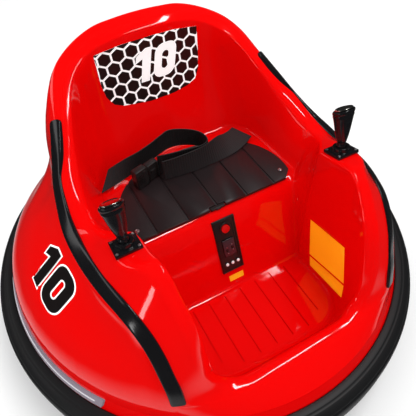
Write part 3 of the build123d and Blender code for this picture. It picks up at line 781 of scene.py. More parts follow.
def body_heights(surface, line, across, facing):
    """Height of the body over the middle line, at nine places across each stop."""
    heights = np.full((len(line), len(STRIP_SPREAD)), RAY_MISSED)
    for i in range(len(line)):
        for j, offset in enumerate(STRIP_SPREAD):
            start = line[i] + across[i] * offset * STRIP_HALF + facing[i] * RAY_START
            hit = surface.ray_cast(Vector(start), Vector(-facing[i]), RAY_LENGTH)
            if hit[0] is not None:
                heights[i, j] = RAY_START - hit[3]
    return heights


print("strip length in mm:", round(strip_frames()[1]))

# %% The strips


def make_strip_rows(surface):
    """Rows of points across a flat strip laid on the body."""
    stops, length, line, across, facing = strip_frames()
    heights = blurred(body_heights(surface, line, across, facing), stops, BLUR_BODY)
    # Across the strip the body is read as a parabola, and the strip takes a calmer one
    curve = np.stack([STRIP_SPREAD ** power for power in (0, 1, 2)], -1)
    shape = np.linalg.lstsq(curve, heights.T, rcond=None)[0].T
    tilt = TAKEN_TILT * blurred(shape[:, 1], stops, BLUR_SHAPE)
    dome = np.minimum(TAKEN_DOME * blurred(shape[:, 2], stops, BLUR_SHAPE), LEAST_DOME)
    level = (heights - tilt[:, None] * STRIP_SPREAD - dome[:, None] * STRIP_SPREAD ** 2).max(axis=1)
    level = blurred(level, stops, BLUR_LEVEL) - STRIP_SUNK
    rows = []
    for i, stop in enumerate(stops):
        corner = STRIP_CORNERS[0] if stop < length / 2 else STRIP_CORNERS[1]
        near = min(stop, length - stop, corner)
        half = STRIP_HALF - corner + math.sqrt(corner ** 2 - (corner - near) ** 2)
        # The ends are rounded like the edges, so they sink where an end is near
        past = 1.0 - min(max(near, 0.1), STRIP_EDGE) / STRIP_EDGE
        sink = 0.5 * STRIP_STAND * (1.0 - math.sqrt(1.0 - past ** 2))
        places = np.array([-half, -half, -half + STRIP_EDGE * 0.3, -half + STRIP_EDGE, -half / 2, 0,
                           half / 2, half - STRIP_EDGE, half - STRIP_EDGE * 0.3, half, half])
        lifts = np.array([0, 0.5, 0.86, 1, 1, 1, 1, 1, 0.86, 0.5, 0]) * STRIP_STAND - sink
        t = places / STRIP_HALF
        over = level[i] + tilt[i] * t + dome[i] * t ** 2 + lifts
        over[[0, -1]] = np.interp(t[[0, -1]], STRIP_SPREAD, heights[i]) - STRIP_SUNK
        rows.append(line[i] + across[i] * places[:, None] + facing[i] * over[:, None])
    return np.array(rows)


rows = make_strip_rows(body_surface([moulding, side_skins[0], rear_skin]))
for name, side in SIDES:
    count, columns = rows.shape[:2]
    caps = [tuple(range(columns)), tuple(range(count * columns - 1, (count - 1) * columns - 1, -1))]
    caps = caps if side > 0 else [cap[::-1] for cap in caps]
    mesh_piece("strip_" + name, mirrored(rows, side).reshape(-1, 3),
               grid_faces(count, columns, flip=side > 0) + caps, BLACK_GLOSS, "car", ["trim_strip_" + name],
               "black_trim")
print("strips made, rows:", len(rows))

# %% [markdown]
# ## Joysticks
# The rider steers with two short sticks, each a waisted grip on a ball, with a sloping head and a
# silver cap. A grip like this is turned in steps: an oval for each level, wider towards the top.
# Spin would give circles only, so the rings are written out. The lever has its own frame, in which
# the profile stands upright, and the same frame moves with the stick's joint.

# %% Joysticks
STICK_PLACE, STICK_SLOPE, STICK_LEAN = (150.0, -141.0, 316.5), math.radians(13), math.radians(10)
PLATE_THICKNESS, BALL_HEIGHT, BALL_RADIUS, STICK_TOP = 4.0, 7.0, 6.6, 50.0
# Height on the lever, half width across the car, half depth along it
GRIP = [(6.0, 6.2, 6.0), (10.0, 7.2, 6.8), (15.0, 8.5, 7.8), (24.0, 10.4, 9.0), (34.0, 12.0, 10.2),
        (40.0, 13.0, 11.0), (43.0, 13.8, 11.7), (44.0, 13.2, 11.2), (45.0, 13.4, 11.4), (46.0, 14.2, 12.0),
        (48.5, 14.3, 12.1), (49.6, 13.6, 11.4), (50.0, 12.6, 10.6)]
HEAD_SLOPE, HEAD_START, HEAD_RISE = 0.34, 30.0, 16.0


def tilted(height, y):
    """Height with the head's slope: its front edge stands higher than its rear edge."""
    return height - HEAD_SLOPE * y * min(1.0, max(0.0, (height - HEAD_START) / HEAD_RISE))


def turned(levels, count=48):
    """A closed skin from levels (height, half width, half depth), bottom to top."""
    angles = [2 * math.pi * step / count for step in range(count)]
    points = [(half_width * math.cos(a), half_depth * math.sin(a), tilted(height, half_depth * math.sin(a)))
              for height, half_width, half_depth in levels for a in angles]
    return np.array(points), tube_faces(len(levels), count)


def lever_frame(side):
    """From the lever's own frame to the car's, in millimetres."""
    place = Matrix.Translation((STICK_PLACE[0] * side, STICK_PLACE[1], STICK_PLACE[2]))
    base = place @ Matrix.Rotation(-STICK_SLOPE, 4, "X")
    lever = base @ Matrix.Translation((0, 0, PLATE_THICKNESS + BALL_HEIGHT)) @ Matrix.Rotation(
        STICK_SLOPE - STICK_LEAN, 4, "X")
    return base, lever


def moved(points, frame_matrix):
    """Points of a part's own frame in the car's frame."""
    return np.array([tuple(frame_matrix @ Vector(p)) for p in points])


ball = [(-BALL_RADIUS * math.cos(a), BALL_RADIUS * math.sin(a), BALL_RADIUS * math.sin(a))
        for a in np.linspace(0.12, 2.2, 14)]
CAP = [(STICK_TOP + 0.1, 11.6, 9.8), (STICK_TOP + 1.6, 11.6, 9.8), (STICK_TOP + 2.3, 11.1, 9.3),
       (STICK_TOP + 2.5, 10.2, 8.5), (STICK_TOP + 2.0, 9.4, 7.8), (STICK_TOP + 2.2, 4.0, 3.4)]
for name, side in SIDES:
    _, lever = lever_frame(side)
    for part, levels, material, slot in (("grip", ball + GRIP, BLACK_GLOSS, "black_plastic"),
                                         ("cap", CAP, SILVER, "cap_silver")):
        points, faces = turned(levels)
        mesh_piece(part + "_" + name, moved(points, lever), faces, material, "stick_" + name,
                   ["joystick_" + part + "_" + name], slot, 0.0, (len(faces) - 2, len(faces) - 1))
print("joysticks made, rings of a grip:", len(ball + GRIP))

# %% [markdown]
# ### Round edges
# Moulded plates have no sharp edges, and the plain CAD blocks do. A Bevel modifier rounds them
# without touching their points, after a Weld that joins the loose triangles of a CAD mesh.

# %% Bevels


def round_edges(node, width, segments=3):
    """Welds a CAD node's facets and rounds its sharp edges, in millimetres."""
    weld_mod = node.modifiers.new("weld", "WELD")
    weld_mod.merge_threshold = 1e-5
    bevel = node.modifiers.new("bevel", "BEVEL")
    bevel.width = width * MM
    bevel.segments = segments
    bevel.limit_method = "ANGLE"
    bevel.angle_limit = math.radians(40)


for name, width in (("seat_plate", 0.9), ("control_panel", 0.8), ("joystick_base_left", 0.9),
                    ("joystick_base_right", 0.9), ("buckle_socket", 2.2), ("buckle_tongue", 1.6),
                    ("power_button", 1.0), ("panel_display", 0.4)):
    round_edges(NODES[name], width)
print("plates and blocks with round edges made")

# %% [markdown]
# ## One part, many places
# Screws, tread bars, lamps and studs are each one small part that repeats. Geometry Nodes do that
# with one tree: it reads points, each with its own turn, puts the part on all of them, makes real
# faces of the copies and gives them a finish. A loop that copies points would do as well, but in
# the tree the part, its size and its places stay apart and can be changed one by one.

# %% A tree that copies a part onto points


def make_copy_tree():
    """Part on every point, turned by the point's own turn and scaled by Size, beside Base."""
    tree = bpy.data.node_groups.new("copies_on_points", "GeometryNodeTree")
    for name, kind in (("Points", "Geometry"), ("Part", "Object"), ("Base", "Object"), ("Size", "Vector"),
                       ("Finish", "Material")):
        tree.interface.new_socket(name, in_out="INPUT", socket_type="NodeSocket" + kind)
    tree.interface.new_socket("Copies", in_out="OUTPUT", socket_type="NodeSocketGeometry")
    inputs, outputs, part, base, turn, copy, join, real, paint = (tree.nodes.new(kind) for kind in (
        "NodeGroupInput", "NodeGroupOutput", "GeometryNodeObjectInfo", "GeometryNodeObjectInfo",
        "GeometryNodeInputNamedAttribute", "GeometryNodeInstanceOnPoints", "GeometryNodeJoinGeometry",
        "GeometryNodeRealizeInstances", "GeometryNodeSetMaterial"))
    turn.data_type = "QUATERNION"
    turn.inputs["Name"].default_value = "turn"
    given = inputs.outputs
    wire(tree, (given["Points"], copy.inputs["Points"]), (given["Part"], part.inputs["Object"]),
         (given["Base"], base.inputs["Object"]), (given["Size"], copy.inputs["Scale"]),
         (given["Finish"], paint.inputs["Material"]), (part.outputs["Geometry"], copy.inputs["Instance"]),
         (turn.outputs["Attribute"], copy.inputs["Rotation"]), (copy.outputs["Instances"], join.inputs["Geometry"]),
         (base.outputs["Geometry"], join.inputs["Geometry"]), (join.outputs["Geometry"], real.inputs["Geometry"]),
         (real.outputs["Geometry"], paint.inputs["Geometry"]), (paint.outputs["Geometry"], outputs.inputs["Copies"]))
    return tree


COPY_TREE = make_copy_tree()


def copies(name, part, places, turns, material, body="car", size=(1.0, 1.0, 1.0), base=None, **kept):
    """A part on places in millimetres, each with a turn, as one plain mesh; part and base are objects."""
    spots = bpy.data.meshes.new("spots")
    spots.from_pydata([tuple(np.array(place) * MM) for place in places], [], [])
    for spot, turn in zip(spots.attributes.new("turn", "QUATERNION", "POINT").data, turns):
        spot.value = turn
    piece = bpy.data.objects.new(name, spots)
    bpy.context.scene.collection.objects.link(piece)
    tree = piece.modifiers.new("copies", "NODES")
    tree.node_group = COPY_TREE
    values = {"Part": part, "Base": base, "Size": size, "Finish": material}
    for socket in COPY_TREE.interface.items_tree:
        if values.get(socket.name) is not None:
            tree[socket.identifier] = values[socket.name]
    plain = bpy.data.meshes.new_from_object(piece.evaluated_get(bpy.context.evaluated_depsgraph_get()))
    plain.name = name
    if "turn" in plain.attributes:
        plain.attributes.remove(plain.attributes["turn"])
    piece.modifiers.clear()
    piece.data = plain
    # Part, base and spots have done their work; an object goes with its mesh
    for mesh in [spots] + [helper.data for helper in (part, base) if helper]:
        bpy.data.meshes.remove(mesh)
    return carried(piece, body, **kept)


print("tree inputs:", [socket.name for socket in COPY_TREE.interface.items_tree if socket.in_out == "INPUT"])

# %% [markdown]
# ### Screws
# Four screws hold the seat plate and four hold each joystick. A pan head is a low dome with a cross
# cut in it. The head is made one millimetre in radius and in height, and Size gives each kind its own.

# %% Screws


def screw_head(count=20):
    """A pan head with a cross recess, standing on z = 0, one millimetre in radius and height."""
    levels = [(0.0, 1.0), (0.45, 1.0), (0.8, 0.86), (1.0, 0.6)]
    angles = [2 * math.pi * (step + 0.5) / count for step in range(count)]
    points = [(share * math.cos(a), share * math.sin(a), rise) for rise, share in levels for a in angles]
    faces = tube_faces(len(levels), count)[:-1]
    arm, wing = 0.42, 0.12
    cross = [(arm, -wing), (arm, wing), (wing, wing), (wing, arm), (-wing, arm), (-wing, wing), (-arm, wing),
             (-arm, -wing), (-wing, -wing), (-wing, -arm), (wing, -arm), (wing, -wing)]
    found, triangles = filled([point[:2] for point in points[-count:]], [cross])
    faces += shifted(triangles, len(points))
    points += [(x, y, 1.0) for x, y in found]
    n = len(cross)
    walls = [(i, (i + 1) % n, n + (i + 1) % n, n + i) for i in range(n)] + [tuple(range(n, 2 * n))]
    faces += shifted(walls, len(points))
    points += [(x, y, z) for z in (1.0, 0.4) for x, y in cross]
    return plain_object("screw", *weld(np.array(points), faces, 0.005))


def screws(name, places, way, radius, height):
    """Screw heads at points, all standing along one way."""
    turn = Vector(way).to_track_quat("Z", "Y")
    return copies(name, screw_head(), places, [turn] * len(places), STEEL, size=(radius, radius, height))


SEAT_TOP = 228.0 + 0.3 + 5.0  # floor of the seat, gap, seat plate
SEAT_SCREWS = [(119, -58), (-119, -58), (40, 54), (-40, 54)]
screws("seat_screws", [(x, y, SEAT_TOP) for x, y in SEAT_SCREWS], (0, 0, 1), 3.4, 1.6)
for name, side in SIDES:
    base, _ = lever_frame(side)
    spots = [(x, y, PLATE_THICKNESS) for x in (-13.0, 13.0) for y in (-12.0, 12.0)]
    screws("stick_screws_" + name, moved(spots, base), base.to_3x3() @ Vector((0, 0, 1)), 1.9, 1.1)
print("screws made:", len(SEAT_SCREWS) + 2 * len(spots))

# %% [markdown]
# ### Drive wheels
# A hard plastic tyre has two rows of cross bars, half a pitch apart. The ring under them is one
# profile swept round. One bar is made at the top of the wheel, and the tree copies it round the
# axle. All of it stays inside the radius of the plain CAD tyre, so the wheel still turns freely.

# %% Treads of the drive wheels
WHEEL_RADIUS, WHEEL_HALF, WHEEL_SPOT, BARS = 65.0, 19.0, (215.0, 40.0, 65.0), 26
TYRE_INNER, TYRE_BASE, TYRE_STEPS = 47.05, 62.4, 96
BAR_LENGTH, BAR_MIDDLE, BAR_ANGLE = 15.5, 9.25, 0.055
BOX = [(0, 1, 3, 2), (4, 6, 7, 5), (0, 4, 5, 1), (2, 3, 7, 6), (0, 2, 6, 4), (1, 5, 7, 3)]


def tyre_ring(spot):
    """The ring with its base tread, round the X axis through a spot."""
    profile = [(TYRE_INNER, -WHEEL_HALF), (TYRE_BASE - 4, -WHEEL_HALF), (TYRE_BASE - 1.2, -WHEEL_HALF + 1.2),
               (TYRE_BASE, -WHEEL_HALF + 4), (TYRE_BASE, WHEEL_HALF - 4), (TYRE_BASE - 1.2, WHEEL_HALF - 1.2),
               (TYRE_BASE - 4, WHEEL_HALF), (TYRE_INNER, WHEEL_HALF)]
    angles = [2 * math.pi * k / TYRE_STEPS for k in range(TYRE_STEPS)]
    points = [(x, r * math.cos(a), r * math.sin(a)) for a in angles for r, x in profile]
    return plain_object("tyre_ring", np.array(points) + spot, hoop_faces(TYRE_STEPS, len(profile)))


def tread_bar():
    """One bar of the tread, a wedge that stands on the ring."""
    points = [(x, r * math.cos(a), r * math.sin(a)) for x in (-BAR_LENGTH / 2, BAR_LENGTH / 2)
              for r in (TYRE_BASE - 1.0, WHEEL_RADIUS - 0.1) for a in (-BAR_ANGLE, BAR_ANGLE)]
    return plain_object("bar", points, BOX, range(len(BOX)))


for name, side in SIDES:
    spot = mirrored(WHEEL_SPOT, side)
    rows = [(row, 2 * math.pi * (k + shift) / BARS) for row, shift in ((-1, 0.0), (1, 0.5)) for k in range(BARS)]
    copies("tread_" + name, tread_bar(), [spot + (row * BAR_MIDDLE, 0, 0) for row, _ in rows],
           [Quaternion((1, 0, 0), angle) for _, angle in rows], TREAD, "wheel_" + name, base=tyre_ring(spot),
           nodes=["drive_tyre_" + name], slot="wheel_rim_tyre")
print("treads made, bars:", 2 * len(rows))

# %% [markdown]
# ## The lap belt
# Webbing stands on edge on the seat. It is a flat band of one width, so each length follows two
# edge lines that were placed point by point. Cloth simulation would let it fall over, and the real
# webbing is stiff enough to stand. Small steps in its thickness make the ribs of the weave.

# %% Webbing: lower edge and upper edge of each length, from its start to its end
LOOP_EDGES = [((-139, 37, 234.6), (-115, 58, 258)), ((-112, 44, 234.4), (-92, 57, 265)),
              ((-80, 54, 234.5), (-66, 56, 271)), ((-50, 62, 236.5), (-45, 59, 273)),
              ((-26, 69, 239.5), (-24, 65, 276)), ((-6, 72, 241), (-8, 69, 277)),
              ((20, 65, 239.5), (17, 60, 276)), ((40, 50, 236.5), (36, 44, 273)),
              ((43, 34, 234), (39, 26, 270)), ((30, 24, 234), (26, 18, 270)), ((0, 25, 234), (0, 21, 270)),
              ((-30, 28, 234), (-30, 26, 270)), ((-46, 31, 234), (-46, 30, 270.5))]
STRAP_EDGES = [((-44, 14, 234), (-44, 14, 271)), ((-22, 11, 234), (-22, 12, 271)), ((4, 8, 234), (4, 12, 271)),
               ((33, 8, 234), (32, 16, 270)), ((62, 9, 234.4), (55, 29, 265)), ((86, 13, 235), (74, 44, 252)),
               ((106, 21, 235.5), (91, 54, 245)), ((124, 31, 236.5), (106, 62, 241))]
BAND_WIDTH, BAND_THICKNESS, RIB_PITCH, RIB_DEPTH = 37.6, 1.7, 4.0, 0.6
# Round the webbing: share of the width, share of the thickness
BAND_SECTION = [(0.0, 0.25), (0.012, 0.5), (0.03, 0.56), (0.5, 0.5), (0.97, 0.56), (0.988, 0.5), (1.0, 0.25)]
BAND_SECTION += [(up, -out) for up, out in BAND_SECTION[::-1]]


def webbing(name, edges, node):
    """A ribbed band between two edge lines."""
    fine = smooth_rows(np.array(edges, float), 24)
    run = run_along(fine.mean(axis=1))
    stops = np.arange(0.0, run[-1], RIB_PITCH / 4)
    low, high = (at_stops(stops, run, fine[:, edge]) for edge in (0, 1))
    rise = unit(high - low) * BAND_WIDTH
    out = unit(np.cross(np.gradient(low + rise / 2, axis=0), rise))
    ribs = RIB_DEPTH * (0.5 + 0.5 * np.cos(2 * math.pi * stops / RIB_PITCH))
    points = []
    for i in range(len(stops)):
        for up, across in BAND_SECTION:
            half = BAND_THICKNESS * across - math.copysign(ribs[i] if 0.02 < up < 0.98 else 0.0, across)
            points.append(low[i] + rise[i] * up + out[i] * half)
    faces = [face[::-1] for face in tube_faces(len(stops), len(BAND_SECTION))]
    print(name, "length in mm:", round(run[-1]))
    return mesh_piece(name, points, faces, WEBBING, "car", [node], "webbing")


webbing("belt_band_loop", LOOP_EDGES, "belt_loop")
webbing("belt_band_strap", STRAP_EDGES, "belt_strap")

# %% [markdown]
# ### Buckle and seat clip
# The side-release buckle is two CAD blocks with round edges. Its ribs, shoulders and window frame
# are thin boxes on top, and so is the clip in the notch of the seat plate. Several boxes in one
# mesh, with one Bevel, are lighter than a piece for each.

# %% Boxes with round edges


def blocks_piece(name, parts, frame_matrix, material, bevel):
    """Boxes (low corner, size) as one piece with round edges."""
    points, faces = [], []
    for corner, size in parts:
        faces += shifted(BOX, len(points))
        points += [tuple(np.array(corner) + np.array(size) * (i, j, k))
                   for i in (0, 1) for j in (0, 1) for k in (0, 1)]
    piece = mesh_piece(name, moved(points, frame_matrix), faces, material, "car")
    edge = piece.modifiers.new("bevel", "BEVEL")
    edge.width, edge.segments, edge.limit_method = bevel * MM, 2, "ANGLE"
    return piece


buckle = Matrix.Translation((-68.0, 26.0, 250.6)) @ Matrix.Rotation(math.radians(18), 4, "Z")
BUCKLE_RIBS = [((-20.5 + i * 2.6, -7.3, -11), (1.2, 0.9, 22)) for i in range(4)]
BUCKLE_RIBS += [((-9.5, -7.2, -13.5), (6.5, 0.8, 27)), ((1.6, -6.9, -14), (1.4, 1.5, 28)),
                ((17.2, -7.0, -15), (3.4, 1.7, 30)), ((6.0, -6.6, -4.5), (9.0, 1.2, 9.0))]
blocks_piece("buckle_detail", BUCKLE_RIBS, buckle, BLACK, 0.35)
CLIP_LOW = SEAT_TOP - 4.9
SEAT_CLIP = [((-11.5, -76.4, CLIP_LOW), (23.0, 5.8, 3.6)), ((-4.0, -77.6, CLIP_LOW), (8.0, 2.0, 2.4))]
blocks_piece("seat_clip", SEAT_CLIP, Matrix.Identity(4), BLACK, 0.6)
print("belt details made, boxes:", len(BUCKLE_RIBS) + len(SEAT_CLIP))

# %% [markdown]
# ## Stickers
# A sticker is an outline in its own plane. Rays from that plane find the surface, so it follows
# every curve, and a thin sheet is laid just above it. A picture on the body would be simpler, but
# a sheet keeps crisp edges at any distance and is there in the mesh as well.

# %% Laying sheets on surfaces


def lay(name, tree, place, across, up, shapes, material, lift):
    """Flat shapes [(outline, holes, pitch)], with across and up as their axes, laid on a surface."""
    across, up = np.array(across, float), np.array(up, float)
    aim = np.cross(up, across)
    points, faces = [], []
    for outline, holes, pitch in shapes:
        found, triangles = filled(outline, holes, pitch)
        faces += shifted(triangles, len(points))
        for u, v in found:
            origin = np.array(place, float) + across * u + up * v
            hit, normal, _, _ = tree.ray_cast(Vector(origin), Vector(aim))
            if hit is None:
                raise SystemExit(name + ": a point of the sticker misses the surface")
            normal = np.array(normal)
            normal = normal if normal @ aim < 0 else -normal
            points.append(np.array(hit) + normal * lift)
    a, b, c = (np.array(points[v]) for v in faces[0])
    if np.cross(b - a, c - a) @ aim > 0:
        faces = [face[::-1] for face in faces]
    return mesh_piece(name, points, faces, material, "car", thickness=0.12)


INKS = dict(grain=(50.0, 0.0))  # print has no ripple of its own
# The white ink glows a little: a painted glow that keeps the print white where red bounce light and shade would tint
# and dull it.
WHITE_INK = finish("white_ink", (0.93, 0.95, 0.95), 0.35, Emission_Strength=0.22, **INKS)
BLACK_INK = finish("black_ink", (0.009, 0.006, 0.006), 0.30, **INKS)
# The papers glow a little in their own colours: a painted glow that keeps them bright where shade falls in the
# footwell.
ORANGE = finish("orange_paper", (0.86, 0.32, 0.004), 0.45, Emission_Strength=0.35,
                Emission_Color=(0.86, 0.30, 0.002, 1.0), **INKS)
YELLOW = finish("yellow_paper", (0.90, 0.46, 0.01), 0.45, Emission_Strength=0.2,
                Emission_Color=(0.86, 0.42, 0.005, 1.0), **INKS)
inside = body_surface([moulding])
print("inks and papers ready")

# %% [markdown]
# ### Papers in the footwell
# Two orange papers lie on the inner wall and a small yellow one under the control panel. They are
# plain: an outline on the wall, seen from the side, is all that they need.

# %% Papers: outlines by y and z on the wall, or by x and z under the panel
PAPER = [((-138, 193), (-213, 212), (-232, 149), (-153, 124)),
         ((-154.5, 119.8), (-233.5, 144.8), (-240, 126), (-160, 102))]
for name, shape in zip(("paper_upper", "paper_lower"), PAPER):
    outline = [(-y, z) for y, z in shape][::-1]
    lay(name, inside, (60, 0, 0), (0, -1, 0), (0, 0, 1), [(outline, (), 12.0)], ORANGE, 0.2)
SMALL_PAPER = [(-9, 104), (16, 104), (16, 114), (-9, 114)]
lay("small_paper", inside, (0, -200, 0), (1, 0, 0), (0, 0, 1), [(SMALL_PAPER, (), 6.0)], YELLOW, 0.2)
print("papers made:", len(PAPER) + 1)

# %% [markdown]
# ### The race number
# A racing number is bold and leans forward: a 1 from seven straight strokes and a 0 from two round
# boxes. The shapes are drawn in a box one high. Each can grow by a border, so that the same digits
# in white make the edge of the black ones. A font would need a file and rarely has this weight.

# %% The digits 1 and 0
ONE = [(0.20, 0.0), (0.46, 0.0), (0.46, 1.0), (0.26, 1.0), (0.0, 0.80), (0.0, 0.60), (0.20, 0.70)]
ZERO_HALF, ZERO_ROUND = (0.34, 0.5), 0.26


def round_box(half_x, half_y, radius, steps=7):
    """An anticlockwise rounded rectangle about the origin."""
    out = []
    for sx, sy, start in ((1, -1, -90), (1, 1, 0), (-1, 1, 90), (-1, -1, 180)):
        for step in range(steps):
            angle = math.radians(start + 90 * step / (steps - 1))
            out.append((sx * (half_x - radius) + radius * math.cos(angle),
                        sy * (half_y - radius) + radius * math.sin(angle)))
    return out


def grown(outline, border):
    """An anticlockwise outline with every side moved out by a border."""
    out = []
    n = len(outline)
    for i in range(n):
        a, b, c = (np.array(outline[k % n], float) for k in (i - 1, i, i + 1))
        first, second = (b - a) / np.linalg.norm(b - a), (c - b) / np.linalg.norm(c - b)
        n1, n2 = np.array([first[1], -first[0]]), np.array([second[1], -second[0]])
        out.append(tuple(b + (n1 + n2) * border / (1 + n1 @ n2)))
    return out


def race_number(height, centre, slant, border=0.0, pitch=6.0):
    """The digits 1 and 0 as shapes, grown by a border, in millimetres."""
    def place(points, shift):
        return [(centre[0] + shift + x + slant * y, centre[1] + y) for x, y in points]

    one = [(x * height, (y - 0.5) * height) for x, y in ONE]
    half_x, half_y, stroke = ZERO_HALF[0] * height, ZERO_HALF[1] * height, 0.24 * height + border
    zero = round_box(half_x + border, half_y + border, ZERO_ROUND * height + border)
    hole = round_box(half_x - stroke, half_y - stroke, max(0.1 * height - border, 0.5))
    half_gap = 0.06 * height
    return [(place(grown(one, border), -half_gap - 0.46 * height), (), pitch),
            (place(zero, half_gap + half_x), [place(hole, half_gap + half_x)], pitch)]


print("digits ready")

# %% [markdown]
# ### Seat back sticker
# The seat back has a printed field of six-sided cells with white lines between them. A white sheet
# lies below, black cells on it and the number on top. Each cell is cut by the outline of the sheet,
# a convex shape, so that cells at the border end exactly there.

# %% Sheet, cells and number of the seat back


def cut_by(shape, outline):
    """The part of a convex shape inside a convex outline, both anticlockwise."""
    for (ax, ay), (bx, by) in zip(outline, outline[1:] + outline[:1]):
        kept = []
        for p, q in zip(shape, shape[1:] + shape[:1]):
            p_in = (bx - ax) * (p[1] - ay) - (by - ay) * (p[0] - ax)
            q_in = (bx - ax) * (q[1] - ay) - (by - ay) * (q[0] - ax)
            if p_in >= 0:
                kept.append(p)
            if p_in * q_in < 0:
                t = p_in / (p_in - q_in)
                kept.append((p[0] + t * (q[0] - p[0]), p[1] + t * (q[1] - p[1])))
        shape = kept
        if len(shape) < 3:
            return []
    return shape


# Outline of the sheet, x to the rider's left and z, from its lower edge round
BACK_OUTLINE = [(-54, 311.2), (-11, 304.6), (30, 305.5), (55, 310), (70, 316.5), (77.5, 331), (80, 356),
                (80.5, 399), (45, 404.5), (6, 406.2), (-39, 405), (-80, 400), (-80, 352), (-77, 332), (-68, 317.5)]
HEX_PITCH, HEX_LINE, HEX_TURN, HEX_MIDDLE = 20.6, 3.0, math.radians(3), (-3.0, 357.0)


def hex_cells():
    """Cells of the field, turned a little about the height of its middle, cut by the sheet's outline."""
    radius = (HEX_PITCH - HEX_LINE) / math.sqrt(3)
    cells = []
    for i in range(-6, 7):
        for j in range(-5, 6):
            x, z = HEX_PITCH * (i + 0.5 * (j % 2)) + HEX_MIDDLE[0], HEX_PITCH * math.sqrt(3) / 2 * j
            middle_x = x * math.cos(HEX_TURN) - z * math.sin(HEX_TURN)
            middle_z = HEX_MIDDLE[1] + x * math.sin(HEX_TURN) + z * math.cos(HEX_TURN)
            angles = [math.radians(60 * k + 30) + HEX_TURN for k in range(6)]
            cell = cut_by([(middle_x + radius * math.cos(a), middle_z + radius * math.sin(a)) for a in angles],
                          BACK_OUTLINE)
            if len(cell) > 2:
                cells.append((cell, (), 7.0))
    return cells


cells = hex_cells()
for name, shapes, ink, lift in (("sheet", [(BACK_OUTLINE, (), 5.0)], WHITE_INK, 0.15),
                                ("cells", cells, BLACK_INK, 0.3),
                                ("number", race_number(52.0, (3.0, 364.0), 0.22), WHITE_INK, 0.45)):
    lay("back_" + name, inside, (0, 0, 0), (1, 0, 0), (0, 0, 1), shapes, ink, lift)
print("seat back sticker made, cells:", len(cells))

# %% [markdown]
# ### Race number on each side
# The digits follow the panel below the strip and read from outside, their feet towards the ring. A
# plane beside the car, square to the slope of the panel, holds their outlines.

# %% Side numbers
NUMBER_HEIGHT, NUMBER_BORDER, NUMBER_SLANT = 66.0, 2.6, 0.12
for (name, side), panel in zip(SIDES, side_skins):
    surface = body_surface([panel])
    place, heart = np.array([side * 400.0, -66.0, 350.0]), np.array([side * 235.0, -66.0, 226.0])
    across = np.array([0.0, side, 0.0])
    up = np.cross(across, (heart - place) / np.linalg.norm(heart - place))
    for part, border, ink, lift in (("number_edge_", NUMBER_BORDER, WHITE_INK, 0.2),
                                    ("number_", 0.0, BLACK_INK, 0.4)):
        shapes = race_number(NUMBER_HEIGHT, (0, 0), NUMBER_SLANT, border)
        lay(part + name, surface, place, across, up, shapes, ink, lift)
print("side numbers made")

# %% [markdown]
# ## The bumper ring
# A thick foam ring goes round the car and has a fine step line in its upper face. It is one section
# swept round an oval. Curve to Mesh sweeps a section as well, but here both half axes shrink by the
# same inset, as the CAD ring's do, so the two fit each other exactly.

# %% The ring: one section swept round its oval
RING_HALF_WIDTH, RING_HALF_LENGTH, RING_LOW, RING_HIGH = 350.0, 362.0, 42.0, 106.0
RING_THICKNESS, RING_ROUND, RING_STEPS, STEP_DEPTH = 28.0, 22.0, 240, 0.9


def ring_section():
    """(inset from the outer edge, height) round the section, with two fine steps in its upper round."""
    points = []
    for step in range(25):
        angle = math.pi / 2 * step / 24
        reach = RING_ROUND - (STEP_DEPTH if step in (8, 9, 20) else 0.0)
        points.append((RING_ROUND - reach * math.cos(angle), RING_HIGH - RING_ROUND + reach * math.sin(angle)))
    points += [(RING_THICKNESS - 1.5, RING_HIGH), (RING_THICKNESS - 0.4, RING_HIGH - 0.4),
               (RING_THICKNESS, RING_HIGH - 1.5), (RING_THICKNESS, RING_LOW)]
    for step in range(17):
        angle = math.pi / 2 * (1 - step / 16)
        points.append((RING_ROUND * (1 - math.cos(angle)), RING_LOW + RING_ROUND * (1 - math.sin(angle))))
    return points


section = ring_section()
points = [((RING_HALF_WIDTH - inset) * math.cos(a), (RING_HALF_LENGTH - inset) * math.sin(a), height)
          for a in [2 * math.pi * step / RING_STEPS for step in range(RING_STEPS)] for inset, height in section]
mesh_piece("ring", points, hoop_faces(RING_STEPS, len(section)), RING, "car", ["bumper_ring"], "ring_foam")
print("ring made, points of its section:", len(section))

# %% [markdown]
# ## Light strips
# Behind each clear lens sits a row of small lamps, and a pale line along the lens is a painted highlight.
# Lamps are one box that repeats along the skirt's oval, each turned to face outwards, so the copy tree
# makes them too. The highlight line has one section all along, like the ring, but two ends.

# %% Lamps behind the clear lenses
LAMP = finish("lamp", (0.85, 0.80, 0.62), 0.15)
LAMP_COUNT, LAMP_HALF, LAMP_DEPTH, LAMP_INSET, LAMP_HEIGHT = 26, 1.9, 2.2, 1.2, 115.5
SKIRT_WIDTH, SKIRT_LENGTH = 313.7, 325.7


def skirt_point(y, inset, side, height=0.0):
    """A point on the skirt's oval at a place along the car."""
    share = math.sqrt(1 - (y / (SKIRT_LENGTH - inset)) ** 2)
    return np.array([side * (SKIRT_WIDTH - inset) * share, y, height])


def lamp():
    """A cube of two millimetres about its middle."""
    corners = [(x, y, z) for x in (-1, 1) for y in (-1, 1) for z in (-1, 1)]
    return plain_object("lamp", corners, BOX, range(len(BOX)))


for name, side in SIDES:
    stops = np.linspace(52.0, -190.0, LAMP_COUNT)
    ways = [skirt_point(y, 0.0, side) / (SKIRT_WIDTH ** 2, SKIRT_LENGTH ** 2, 1.0) for y in stops]
    copies("lamps_" + name, lamp(), [skirt_point(y, LAMP_INSET, side, LAMP_HEIGHT) for y in stops],
           [Vector(way).to_track_quat("Z", "Y") for way in ways], LAMP,
           size=(LAMP_HALF, LAMP_HALF, LAMP_DEPTH / 2))
print("lamps made:", 2 * LAMP_COUNT)

